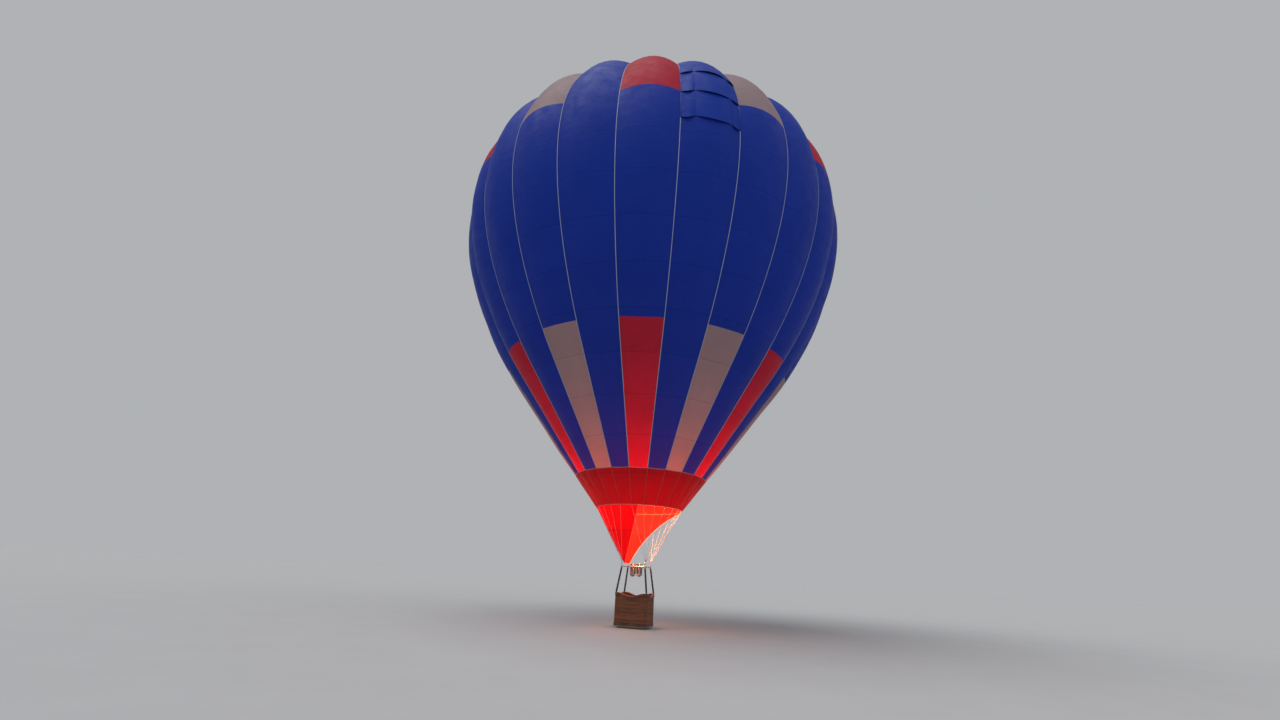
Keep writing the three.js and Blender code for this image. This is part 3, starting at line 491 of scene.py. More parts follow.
class Parts:
    """Gathers closed surfaces into one object. Texture coordinates are in metres."""

    def __init__(self):
        self.points = []
        self.faces = []
        self.texture = []
        self.slots = []
        self.count = 0

    def add(self, points, faces, texture=None, slot=0):
        """A closed surface, with its faces turned outwards. slot is one number or one for each face."""
        points = np.asarray(points, float)
        if texture is None:
            texture = [points[list(face)][:, [0, 2]] for face in faces]
        step = -1 if signed_volume(points, faces) < 0 else 1
        self.points.append(points)
        self.faces.extend(tuple(int(index) + self.count for index in face[::step]) for face in faces)
        self.texture.extend(np.ravel(corners[::step]) for corners in texture)
        self.slots.extend(np.broadcast_to(slot, len(faces)).tolist())
        self.count += len(points)

    def sheet(self, outer, inner, ring=False, texture=(0, 0), slot=0):
        """Closed sheet between two grids of points [row, column]. As a ring, its last column meets its first.

        slot is a number, or a function of how far along the texture a face is."""
        grid = np.arange(2 * outer[..., 0].size).reshape(2, *outer.shape[:2])
        if ring:
            grid = np.concatenate([grid, grid[..., :1]], axis=2)
        grid = np.concatenate([grid[..., None], np.broadcast_to(texture, (*grid.shape, 2))], axis=-1)
        edges = [grid[0], grid[1, ::-1], grid[::-1, 0], grid[:, -1]]
        if not ring:
            edges += [grid[:, :, 0], grid[::-1, :, -1]]
        corners = np.concatenate([quads(edge) for edge in edges])
        if callable(slot):
            slot = slot(corners[..., 2].mean(axis=1))
        points = np.concatenate([outer.reshape(-1, 3), inner.reshape(-1, 3)])
        self.add(points, corners[..., 0].astype(int).tolist(), corners[..., 1:], slot)

    def tube(self, path, radius, sides, closed=False, start_side=UP, slot=0):
        """Round tube along a path, with flat ends unless it is closed. radius may be one for each point."""
        path = np.asarray(path, float)
        count = len(path)
        radii = np.broadcast_to(radius, count)
        if closed:
            tangents = unit(np.roll(path, -1, axis=0) - np.roll(path, 1, axis=0))
        else:
            tangents = unit(np.gradient(path, axis=0))
        side = start_side
        if abs(side @ tangents[0]) > 0.9:
            side = np.array([1.0, 0, 0])
        points = []
        for point, tangent, size in zip(path, tangents, radii):
            side = unit(side - tangent * (side @ tangent))
            points.extend(point + circle(size, sides) @ [side, np.cross(tangent, side), tangent])
        steps = np.linalg.norm(np.diff(path, axis=0, append=path[:1]), axis=1)
        lengths = np.append(0, np.cumsum(steps if closed else steps[:-1]))
        round_length = 2 * np.pi * radii[0] / sides
        numbers = numbered(count, sides, closed)
        texture = metres(lengths[:, None], round_length * np.arange(sides + 1))
        corners = quads(np.dstack([numbers, texture]))[:, [0, 3, 2, 1]]
        faces = corners[..., 0].astype(int).tolist()
        texture = list(corners[..., 1:])
        if not closed:
            faces += [numbers[0, :-1], numbers[-1, :-1][::-1]]
            texture += 2 * [np.zeros((sides, 2))]
        self.add(points, faces, texture, slot)

    def rings(self, rings, closed=False, slot=0):
        """Surface through rings of points. It closes on itself, or else has a cap at each end."""
        rings = np.array(rings, float)
        numbers = numbered(*rings.shape[:2], closed)
        faces = quads(numbers).tolist()
        if not closed:
            faces += [numbers[0, :-1][::-1], numbers[-1, :-1]]
        self.add(rings.reshape(-1, 3), faces, slot=slot)

    def lathe(self, outline, steps, place=(0, 0, 0), turn=np.eye(3), slot=0):
        """Solid turned about Z from (radius, height). The outline starts and ends on the axis, or closes."""
        on_axis = outline[0][0] == 0
        around = outline[1:-1] if on_axis else outline
        points = np.concatenate([circle(radius, steps, height) for radius, height in around])
        numbers = numbered(len(around), steps, not on_axis)
        faces = quads(numbers).tolist()
        if on_axis:
            first, last = len(points), len(points) + 1
            points = np.concatenate([points, [[0, 0, outline[0][1]], [0, 0, outline[-1][1]]]])
            faces += [(first, on, step) for step, on in zip(numbers[0], numbers[0, 1:])]
            faces += [(last, step, on) for step, on in zip(numbers[-1], numbers[-1, 1:])]
        self.add(points @ turn.T + place, faces, slot=slot)

    def box(self, size, place, turn, bevel, slot=0):
        """Box with chamfered edges: each corner is three points."""
        corners = [
            np.array(sign) * (np.array(size) / 2 - bevel * (1 - face))
            for sign in product((-1, 1), repeat=3) for face in np.eye(3)
        ]
        points = np.array(corners)
        faces = []
        for way in product((-1, 0, 1), repeat=3):
            if any(way):
                reach = points @ way
                face = np.flatnonzero(np.isclose(reach, reach.max()))
                spokes = points[face] - points[face].mean(axis=0)
                aside = spokes @ np.cross(way, spokes[0])
                ahead = spokes @ spokes[0] * np.linalg.norm(way)
                faces.append(face[np.argsort(np.arctan2(aside, ahead))])
        self.add(points @ turn.T + place, faces, slot=slot)

    def rod(self, place, along, low, high, radius, sides=16, chamfer=0.0, slot=0):
        """Straight rod on the line that runs from place along a way, between two distances on it."""
        stops, radii = [low, high], radius
        if chamfer:
            stops = [low, low + chamfer, high - chamfer, high]
            radii = [radius - chamfer, radius, radius, radius - chamfer]
        self.tube(np.asarray(place) + np.outer(stops, along), radii, sides, slot=slot)

    def rods(self, place, along, *table):
        """Rods on one line, each as low, high, radius, sides, chamfer and slot."""
        for row in table:
            self.rod(place, along, *row)

    def bolt(self, place, along, size, slot=0):
        """Washer and hexagon head. size is the head's width across its corners."""
        washer = 0.14 * size
        self.rods(place, along, (0, washer, 0.62 * size, 16, 0.2 * washer, slot),
                  (0.8 * washer, 0.62 * size, 0.5 * size, 6, 0.06 * size, slot))

    def piece(self, name, materials, slot, nodes=(), body="balloon", sharp_angle=35):
        """The object, which rides on a body. slot is not used. It stands for the solids in nodes."""
        mesh = bpy.data.meshes.new(name)
        mesh.from_pydata(np.concatenate(self.points).tolist(), [], self.faces)
        for material in materials:
            mesh.materials.append(material)
        mesh.polygons.foreach_set("material_index", self.slots)
        mesh.uv_layers.new(name="UVMap").data.foreach_set("uv", np.concatenate(self.texture))
        mesh.shade_smooth()
        mesh.set_sharp_from_angle(angle=math.radians(sharp_angle))
        piece = bpy.data.objects.new(name, mesh)
        bpy.context.scene.collection.objects.link(piece)
        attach(piece, body)
        if nodes:
            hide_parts(*nodes)
        return piece


# Meridian

def bezier(first, second, third, fourth, count=600):
    share = np.linspace(0, 1, count)[:, None]
    rest = 1 - share
    return (rest ** 3 * first + 3 * rest ** 2 * share * second
            + 3 * rest * share ** 2 * third + share ** 3 * fourth)


def make_meridian():
    mouth = np.array([MOUTH_RADIUS, MOUTH_HEIGHT])
    cone_top = np.array([CONE_TOP_RADIUS, CONE_TOP_HEIGHT])
    equator = np.array([EQUATOR_RADIUS, EQUATOR_HEIGHT])
    crown = np.array([0.0, CROWN_HEIGHT])
    lower = bezier(cone_top, cone_top + CONE_HANDLE * unit(cone_top - mouth),
                   equator - [0, EQUATOR_LOWER_HANDLE], equator)
    upper = bezier(equator, equator + [0, EQUATOR_UPPER_HANDLE],
                   np.array([CROWN_HANDLE, CROWN_HEIGHT]), crown)
    points = np.concatenate([np.linspace(mouth, cone_top, 400), lower[1:], upper[1:]])
    steps = np.linalg.norm(np.diff(points, axis=0), axis=1)
    distances = np.append(0, np.cumsum(steps))
    return points, distances, unit(np.gradient(points, distances, axis=0))


meridian, meridian_distances, meridian_tangents = make_meridian()


def meridian_at(distance):
    """Radius, height and way out of the envelope at a distance. Below the mouth the cone runs on."""
    distance = np.asarray(distance, float)
    inside = np.clip(distance, 0, meridian_distances[-1])
    radius, height, along_r, along_z = (
        np.interp(inside, meridian_distances, values) for values in (*meridian.T, *meridian_tangents.T)
    )
    past = distance - inside
    return radius + past * along_r, height + past * along_z, along_z, -along_r


def distance_at_height(height):
    return float(np.interp(height, meridian[:, 1], meridian_distances))


def crown_distance(radius):
    above = meridian_distances >= EQUATOR_DISTANCE
    return float(np.interp(-radius, -meridian[above, 0], meridian_distances[above]))


EQUATOR_DISTANCE = distance_at_height(EQUATOR_HEIGHT)
BAND_TOP = distance_at_height(BAND_TOP_HEIGHT)
STRIPE_TOP = distance_at_height(STRIPE_TOP_HEIGHT)
PATCH_BASE = distance_at_height(PATCH_BASE_HEIGHT)
PARACHUTE_EDGE = crown_distance(PARACHUTE_RADIUS)
OPENING_EDGE = crown_distance(CROWN_OPENING_RADIUS)
HALF_GORE = math.radians(GORE_ANGLE / 2)


def smoothstep(value, low, high):
    share = np.clip((np.asarray(value, float) - low) / (high - low), 0, 1)
    return share * share * (3 - 2 * share)


def rise_at(distance, radius):
    """How far the middle of a gore stands out."""
    from_mouth = smoothstep(distance, 0, MOUTH_RISE_RUN_IN)
    from_crown = smoothstep(PARACHUTE_EDGE - distance, 0, CROWN_RISE_RUN_IN)
    above_equator = smoothstep(distance, EQUATOR_DISTANCE, EQUATOR_DISTANCE + CROWN_RISE_DISTANCE)
    share = GORE_RISE + (CROWN_GORE_RISE - GORE_RISE) * above_equator
    return share * radius * from_mouth * from_crown


def on_azimuth(azimuth, radius, height):
    angle = np.radians(azimuth)
    return np.stack(np.broadcast_arrays(radius * np.sin(angle), -radius * np.cos(angle), height), axis=-1)


def fabric(azimuth, distance, across, depth=0.0):
    """Points of the cloth. across runs from -1 to 1 between a gore's seams, depth is in from the outside."""
    radius, height, out_r, out_z = meridian_at(distance)
    lift = rise_at(distance, radius) * (1 - across ** 2) - depth
    return on_azimuth(azimuth, radius + lift * out_r, height + lift * out_z)


def pucker(azimuth, distance, across):
    """How far the gathered cloth beside a seam stands out. It dies away towards the middle of the gore."""
    from_seam = np.maximum(1 - np.abs(across), 0) * meridian_at(distance)[0] * HALF_GORE
    fade = np.exp(-from_seam / 0.16) * (1 - np.exp(-from_seam / 0.03))
    seam = np.round((azimuth + GORE_ANGLE / 2) / GORE_ANGLE)
    drift = 0.7 * np.sin(1.9 * distance + 2.4 * seam) + 1.3 * seam
    wave = np.sin(2 * np.pi * distance / PUCKER_LENGTH + drift)
    wave += 0.5 * np.sin(2 * np.pi * distance / (0.62 * PUCKER_LENGTH) - 1.7 * drift)
    loose = 0.55 + 0.45 * np.sin(0.8 * distance + 2.1 * seam)
    ends = smoothstep(distance, BAND_TOP, BAND_TOP + 0.5) * smoothstep(PARACHUTE_EDGE - distance, 0, 0.6)
    return PUCKER_HEIGHT * fade * wave * loose * ends


def long_waves(index, distance, across):
    """Slight unevenness of a gore's own cut, so that no two gores are alike."""
    ends = smoothstep(distance, BAND_TOP, BAND_TOP + 1.5) * smoothstep(PARACHUTE_EDGE - distance, 0, 1.5)
    wave = np.sin(1.1 * distance + 2.7 * index) * np.cos(1.4 * across + 0.8 * index)
    wave += 0.6 * np.sin(2.3 * distance - 1.9 * index + 2.0 * across)
    return 0.008 * wave * ends * (1 - across ** 2)


def gore_points(index, distance, across, depth):
    """Points of the cloth of gore number index, counted from 0 at the front."""
    azimuth = index * GORE_ANGLE + across * GORE_ANGLE / 2
    own = pucker(azimuth, distance, across) + long_waves(index, distance, across)
    return fabric(azimuth, distance, across, depth - own)


def grid_of(rows, columns):
    return np.meshgrid(rows, columns, indexing="ij")


def rows_between(stops, length):
    rows = [stops[0]]
    for start, end in zip(stops[:-1], stops[1:]):
        count = max(1, round((end - start) / length))
        rows.extend(start + (end - start) * (step + 1) / count for step in range(count))
    return np.array(rows)


# Gores

half_across = np.array([0.2, 0.44, 0.66, 0.82, 0.91, 0.965, 1])
gore_columns = np.concatenate([-half_across[::-1], [0], half_across])
gore_stops = [BAND_TOP + GAP / 2, STRIPE_TOP, PATCH_BASE, PARACHUTE_EDGE, OPENING_EDGE]
gore_rows = rows_between(gore_stops, GORE_ROW)
distance, across = grid_of(gore_rows, gore_columns)
gore_texture = metres(meridian_at(distance)[0] * HALF_GORE * across, distance)
GORE_CLOTHS = (
    (fabric_blue, "envelope_blue"), (fabric_red, "envelope_red"),
    (fabric_blue, "envelope_blue"), (fabric_white, "envelope_white"),
)


def coloured(along):
    """Whether the striped part of a gore has its own colour there. Between, all are blue."""
    return ((along < STRIPE_TOP) | (along > PATCH_BASE)).astype(int)


for index in range(GORE_COUNT):
    edge = np.where(np.abs(across) == 1, -np.sign(across) * GAP / 2, 0.0)
    shift = on_azimuth(index * GORE_ANGLE + across * GORE_ANGLE / 2 + 90, edge, 0.0)
    layers = [gore_points(index, distance, across, depth) + shift for depth in (0.0, CLOTH)]
    parts = Parts()
    parts.sheet(*layers, texture=gore_texture, slot=coloured)
    cloth, slot_name = GORE_CLOTHS[index % len(GORE_CLOTHS)]
    number = f"{index + 1:02d}"
    piece = parts.piece(f"gore_cloth_{number}", [fabric_blue, cloth], slot_name, [f"gore_{number}"],
                        sharp_angle=60)

# Load tapes: one along every seam, from the mouth to the crown ring
SEAMS = GORE_ANGLE * (np.arange(GORE_COUNT) + 0.5)
tape_stops = [0.004, BAND_TOP, PARACHUTE_EDGE, crown_distance(CROWN_RING_RADIUS)]
tape_rows = rows_between(tape_stops, TAPE_ROW)
tape_columns = np.array([-1, -0.5, 0, 0.5, 1]) * TAPE_WIDTH / 2
parts = Parts()
for seam in SEAMS:
    for slot, rows in enumerate((tape_rows[tape_rows >= BAND_TOP] + 0.001, tape_rows[tape_rows <= BAND_TOP])):
        row, side = grid_of(rows, tape_columns)
        turn = np.degrees(side / np.maximum(meridian_at(row)[0], 0.1))
        across = 1 - np.clip(np.abs(turn) / (GORE_ANGLE / 2), 0, 1)
        on_gore = (row > BAND_TOP) * pucker(seam + turn, row, across)
        layers = [fabric(seam + turn, row, across, -lift - on_gore) for lift in (TAPE_THICKNESS, GAP)]
        parts.sheet(*layers, texture=metres(side, row), slot=slot)
parts.piece("load_tapes", [webbing, red_webbing], "webbing", sharp_angle=60)

# Crown ring, with every tape's end sewn round it
parts = Parts()
ring_middle = (CROWN_HEIGHT + 0.0028) * UP
parts.tube(circle(CROWN_RING_RADIUS, 96) + ring_middle, CROWN_RING_ROD, 14, closed=True)
turn, side = grid_of(np.linspace(-0.62 * np.pi, 0.62 * np.pi, 13), np.array([-0.017, 0, 0.017]))
for seam in SEAMS:
    out, aside = on_azimuth(seam, 1, 0), on_azimuth(seam + 90, 1, 0)
    middle = ring_middle + CROWN_RING_RADIUS * out + side[..., None] * aside
    around = np.sin(turn)[..., None] * UP - np.cos(turn)[..., None] * out
    parts.sheet(*(middle + (CROWN_RING_ROD + lift) * around for lift in (0.0028, 0.0012)), slot=1)
parts.piece("crown_ring_rod", [frame_steel, webbing], "webbing", ["crown_ring"])


# Cloth and tapes all round the envelope

def hoop_grid(rows, per_gore):
    """Points all round: row, azimuth, place across the gore, number of the gore."""
    row, column = grid_of(rows, np.arange(GORE_COUNT * per_gore))
    azimuth = (column / per_gore - 0.5) * GORE_ANGLE
    return row, azimuth, 2 * (column % per_gore) / per_gore - 1, column // per_gore


def hoop_lengths(radius, per_gore):
    """How far round each column of a hoop grid is, with the first one again at the end."""
    return radius * math.radians(GORE_ANGLE / per_gore) * np.arange(GORE_COUNT * per_gore + 1)


for name, distance, width, material, lift in (
    ("band_top_tape", BAND_TOP, 0.024, hem_webbing, 0.0014),
    ("crown_opening_tape", OPENING_EDGE - 0.03, 0.05, webbing, 0.0006),
):
    shifts = np.array([-0.5, 0, 0.5]) * width
    row, azimuth, across = hoop_grid(distance + shifts, TAPE_COLUMNS)[:3]
    layers = [fabric(azimuth, row, across, -lift - thick) for thick in (TAPE_THICKNESS, 0)]
    lengths = hoop_lengths(meridian_at(distance)[0], TAPE_COLUMNS)
    parts = Parts()
    parts.sheet(*layers, ring=True, texture=metres(shifts[:, None], lengths))
    parts.piece(name, [material], "webbing", sharp_angle=60)

# Lower band: one ring of cloth, which billows between the tapes and ripples towards the hem
band_rows = rows_between([0.0, BAND_TOP - GAP / 2], BAND_ROW)
row, azimuth, across = hoop_grid(band_rows, BAND_COLUMNS)[:3]
to_top = BAND_TOP - row
turn = np.radians(azimuth)
own = 0.010 * smoothstep(row, 0, 0.5) * smoothstep(to_top, 0, 0.4) * (1 - across ** 2)
own += 0.006 * np.exp(-row / 0.45) * smoothstep(row, 0, 0.12) * np.sin(61 * turn + 2.0 * row)
own += 0.004 * smoothstep(row, 0, 0.2) * smoothstep(to_top, 0, 0.3) * np.sin(37 * turn + 5.1 * row)
own *= 1 - np.abs(across) ** 6
band_layers = [fabric(azimuth, row, across, depth - own) for depth in (0.0, CLOTH)]
band_lengths = hoop_lengths(meridian_at(band_rows)[0][:, None], BAND_COLUMNS)
parts = Parts()
parts.sheet(*band_layers, ring=True, texture=metres(band_lengths, band_rows[:, None]))
lower_band = parts.piece("lower_band_cloth", [band_red], "envelope_red", ["lower_band"], sharp_angle=60)

# Hem: folded webbing round the mouth, with a stitched loop for every flying wire
hem_rows = np.array([-1, -0.8, -0.5, -0.2, 0]) * HEM_SIZE - GAP
hem_half = np.array([0.25, 0.40, 0.48, 0.40, 0.25])[:, None] * HEM_SIZE
row, azimuth = hoop_grid(hem_rows, HEM_COLUMNS)[:2]
layers = [fabric(azimuth, row, 1.0, CAD_FABRIC / 2 + half) for half in (-hem_half, hem_half)]
parts = Parts()
hem_lengths = hoop_lengths(MOUTH_RADIUS, HEM_COLUMNS)
parts.sheet(*layers, ring=True, texture=metres(hem_rows[:, None], hem_lengths))
row, side = grid_of(np.linspace(-HEM_SIZE - 0.002, 0.10, 7), np.array([-0.0125, 0, 0.0125]))
clear = np.where(row < 0, HEM_SIZE / 2 - CAD_FABRIC / 2, 0.0) * smoothstep(-row, -0.02, 0.004)
for seam in SEAMS:
    for depth, outwards in ((-0.002, 1), (CAD_FABRIC + 0.0025, -1)):
        turned = seam + np.degrees(side / MOUTH_RADIUS)
        layers = [fabric(turned, row, 1.0, depth - outwards * (clear + lift)) for lift in (0.0045, 0.0025)]
        parts.sheet(*layers, texture=metres(side, row), slot=1)
mouth_hem = parts.piece("mouth_hem_webbing", [hem_webbing, red_webbing], "webbing", ["mouth_hem"],
                        sharp_angle=50)

# Parachute valve: a disc of 24 wedges that the hot air presses up between the crown tapes
parachute_depth = CAD_FABRIC + GAP


def parachute_layers(rows, depths):
    """Layers of points on the parachute, each at a depth below its upper face."""
    row, azimuth, across, gore = hoop_grid(rows, PARACHUTE_COLUMNS)
    radius = meridian_at(row)[0]
    inside_opening = smoothstep(CROWN_OPENING_RADIUS - radius, 0.0, 0.5) * smoothstep(radius, 0.1, 0.9)
    billow = inside_opening * (0.045 * (1 - across ** 2) + 0.003 * np.sin(9.0 * row + 1.7 * gore))
    return [fabric(azimuth, row, 1.0, parachute_depth + depth - billow) for depth in depths]


parachute_rows = rows_between([PARACHUTE_EDGE, OPENING_EDGE, crown_distance(0.05)], GORE_ROW)
layers = parachute_layers(parachute_rows, (0, CLOTH))
parachute_lengths = hoop_lengths(np.maximum(meridian_at(parachute_rows)[0], 0.05)[:, None], PARACHUTE_COLUMNS)
parts = Parts()
parts.sheet(*layers, ring=True, texture=metres(parachute_lengths, parachute_rows[:, None]))
parachute = parts.piece("parachute_cloth", [fabric_red], "envelope_red", ["parachute_panel"], "parachute", 60)
parts = Parts()
patch = [(0.0, -0.004), (0.16, -0.004), (0.17, -0.002), (0.17, 0.0), (0.16, 0.0015), (0.0, 0.0015)]
parts.lathe(patch, 48, (meridian_at(crown_distance(0.05))[1] - parachute_depth) * UP)
centre_patch = parts.piece("parachute_centre_patch", [webbing], "webbing", body="parachute")
parts = Parts()
for distance, width in ((PARACHUTE_EDGE + 0.02, 0.03), (crown_distance(1.25), 0.025)):
    rows = distance + np.array([-0.5, 0, 0.5]) * width
    parts.sheet(*parachute_layers(rows, (-0.0025, -0.0005)), ring=True)
parachute_tapes = parts.piece("parachute_tapes", [webbing], "webbing", (), "parachute", 60)

# Turning vent: three rows of three pockets across one gore. Each is sewn down along its top and
# its sides, and its lower edge sags open
share, place = grid_of(np.linspace(0, 1, 22), np.linspace(0, 1, 25))
belly = np.sin(np.pi * place) ** 0.7 * (0.30 * np.sin(np.pi * share) + share ** 3)
sag = 0.10 * np.sin(np.pi * place) * share ** 2
vent_lift = VENT_TAPE_COVER + VENT_OPENING * belly
parts = Parts()
for top, bottom in zip(VENT_LINES, VENT_LINES[1:]):
    for left, right in zip(VENT_EDGES, VENT_EDGES[1:]):
        distance = (top - 0.01) + (bottom - top + 0.02) * share - sag
        across = left + (right - left) * place
        layers = [gore_points(VENT_GORE, distance, across, thick - vent_lift) for thick in (0, 0.002)]
        parts.sheet(*layers, texture=metres(across * meridian_at(distance)[0] * HALF_GORE, distance))
turning_vent = parts.piece("turning_vent_cloth", [fabric_blue], "envelope_blue", sharp_angle=60)

# Tapes that bound the vent's pockets
parts = Parts()
tape_sides = np.array([-0.012, 0.0, 0.012])
for edge in VENT_EDGES:
    row, side = grid_of(np.linspace(VENT_LINES[-1], VENT_LINES[0], 40), tape_sides)
    across = edge + side / (meridian_at(row)[0] * HALF_GORE)
    layers = [gore_points(VENT_GORE, row, across, -VENT_TAPE_COVER - lift) for lift in (0.0035, 0.0005)]
    parts.sheet(*layers, texture=metres(side, row))
for line in VENT_LINES[1:]:
    side, across = grid_of(tape_sides, np.linspace(VENT_EDGES[0], VENT_EDGES[-1], 60))
    layers = [
        gore_points(VENT_GORE, line + side, across, -VENT_TAPE_COVER - lift) for lift in (0.003, 0.0002)
    ]
    parts.sheet(*layers, texture=metres(side, across))
vent_tapes = parts.piece("turning_vent_tapes", [fabric_blue], "envelope_blue", sharp_angle=60)


# Corners of the load frame

def turn_about_z(degrees):
    cosine, sine = math.cos(math.radians(degrees)), math.sin(math.radians(degrees))
    return np.array([[cosine, -sine, 0], [sine, cosine, 0], [0, 0, 1]])


class Corner:
    """A corner of the load frame, with the ways out of it and aside."""

    def __init__(self, name, turn):
        self.name = name
        self.turn = turn
        self.azimuth = turn + 90
        self.matrix = turn_about_z(turn)
        self.out, self.aside = self.matrix.T[:2]
        self.sides = np.sign(self.out)
        self.place = self.sides * (*CORNER_REACH, 0) + FRAME_HEIGHT * UP

    def at(self, points):
        """Points given from the corner's middle, with X out of it, put in their place."""
        return np.asarray(points) @ self.matrix.T + self.place


bend_reach = FRAME_TUBE_RADIUS + FRAME_CORNER_RADIUS * (1 - math.sqrt(0.5))
CORNER_REACH = np.array([FRAME_LENGTH, FRAME_WIDTH]) / 2 - bend_reach
CORNERS = [
    Corner("front_right", -45), Corner("back_right", 45),
    Corner("back_left", 135), Corner("front_left", -135),
]


# Scoop

def scoop_points(azimuth, share, depth):
    """Points from the hem down to the scoop's feet at the two left corners of the load frame."""
    to_back = smoothstep(-azimuth, -SCOOP_TURN_START_AZIMUTH, -SCOOP_TURN_END_AZIMUTH)
    foot_x, foot_y = SCOOP_FOOT_INSET * math.sqrt(0.5) - CORNER_REACH
    head = fabric(azimuth, -2 * GAP - HEM_SIZE, 1.0, SCOOP_INSET + CAD_FABRIC / 2 + depth)
    foot = on_azimuth(azimuth, SCOOP_FOOT_RADIUS - depth, SCOOP_FOOT_HEIGHT)
    foot += np.stack(np.broadcast_arrays(foot_x, foot_y * (1 - 2 * to_back), 0.0), axis=-1)
    share = share[..., None]
    return head * (1 - share) + foot * share


def scoop_drop(azimuth):
    """How far down the cloth reaches: all the way at the feet, and little under the arched free edge."""
    past = np.clip((SCOOP_FULL_TO_AZIMUTH - azimuth) / (SCOOP_FULL_TO_AZIMUTH - SCOOP_END_AZIMUTH), 0, 1)
    return SCOOP_ARCH_SHARE + (1 - SCOOP_ARCH_SHARE) * (1 - past) ** 3


share, azimuth = grid_of(np.linspace(0, 1, 40), np.linspace(SCOOP_START_AZIMUTH, SCOOP_END_AZIMUTH, 150))
down = scoop_drop(azimuth) * share
turn = np.radians(azimuth)

# Pull lines that run from the feet, and a slight billow between the wires
folds = 0.010 * np.sin(17 * turn + 1.2 * np.sin(3 * turn)) * np.sin(np.pi * down) ** 0.8
folds += 0.005 * np.sin(41 * turn + 4.0 * down)
folds *= smoothstep(share, 0, 0.12) * smoothstep(1 - down, 0.02, 0.3)
folds *= smoothstep(SCOOP_START_AZIMUTH - azimuth, 0, 10) * smoothstep(azimuth - SCOOP_END_AZIMUTH, 0, 10)
scoop_depths = (SCOOP_MIDDLE - CLOTH / 2, SCOOP_MIDDLE + CLOTH / 2)
layers = [scoop_points(azimuth, down, depth + folds) for depth in scoop_depths]
from_axis = np.maximum(np.linalg.norm(layers[0][:, :, :2], axis=-1), 0.3)
scoop_texture = metres(np.radians(azimuth - SCOOP_START_AZIMUTH) * from_axis, down * SCOOP_LENGTH)
parts = Parts()
parts.sheet(*layers, texture=scoop_texture)
scoop = parts.piece("scoop_cloth", [scoop_red], "scoop_fabric", ["scoop"], sharp_angle=60)

# Binding along the scoop's free edges
lower = np.linspace(SCOOP_START_AZIMUTH, SCOOP_END_AZIMUTH, 200)[2:]
parts = Parts()
for azimuth, share in (
    (np.full(60, SCOOP_START_AZIMUTH), np.linspace(0, 1, 60)),
    (lower, scoop_drop(lower)),
    (np.full(12, SCOOP_END_AZIMUTH), np.linspace(0, SCOOP_ARCH_SHARE, 12)),
):
    path = scoop_points(azimuth, share, SCOOP_MIDDLE)
    moves_on = np.linalg.norm(np.diff(path, axis=0), axis=1) > 1e-4
    parts.tube(path[np.append(True, moves_on)], BINDING_RADIUS, 8)
binding = parts.piece("scoop_binding", [hem_webbing], "scoop_fabric")


# Shapes for the hardware

def lifted(loop, height):
    """A flat loop of (x, y), put at a height."""
    return np.column_stack([loop, np.broadcast_to(height, len(loop))])


def rounded_loop(length, width, corner_radius, corner_steps, height):
    points = []
    for start, side_x, side_y in ((-90, 1, -1), (0, 1, 1), (90, -1, 1), (180, -1, -1)):
        angle = np.radians(start + np.linspace(0, 90, corner_steps + 1))
        points += zip(side_x * (length / 2 - corner_radius) + corner_radius * np.cos(angle),
                      side_y * (width / 2 - corner_radius) + corner_radius * np.sin(angle))
    return lifted(points, height)


def squared_loop(width, height, power, steps):
    """Loop of two coordinates between an ellipse (power 1) and a box (power near 0)."""
    ways = circle(1, steps)[:, :2]
    return np.sign(ways) * np.abs(ways) ** power * (width / 2, height / 2)


def pierced_plate(outer, inner, thickness, chamfer):
    """Rings of a plate in XZ with one hole: both loops are (x, z) with the same number of points."""
    half = thickness / 2
    low = [
        (outer, -half + chamfer, 0), (outer, -half, -chamfer),
        (inner, -half, chamfer), (inner, -half + chamfer, 0),
    ]
    rings = []
    for loop, y, shift in low + [(loop, -y, shift) for loop, y, shift in low[::-1]]:
        rings.append(lifted(loop + shift * unit(loop - inner.mean(axis=0)), y)[:, [0, 2, 1]])
    return rings


# Flying wires, with the forged eye they meet in
KARABINER_LOW = LUG_HOLE_TOP - GAP - KARABINER_SAG_ALLOWANCE - KARABINER_ROD
KARABINER_HIGH = KARABINER_LOW + 2 * KARABINER_BEND + KARABINER_STRAIGHT
EYE_HEIGHT = KARABINER_HIGH - KARABINER_ROD - KARABINER_SAG_ALLOWANCE - GAP - EYE_ROD + EYE_RADIUS
WIRE_TOP = -GAP - HEM_SIZE - 0.0012

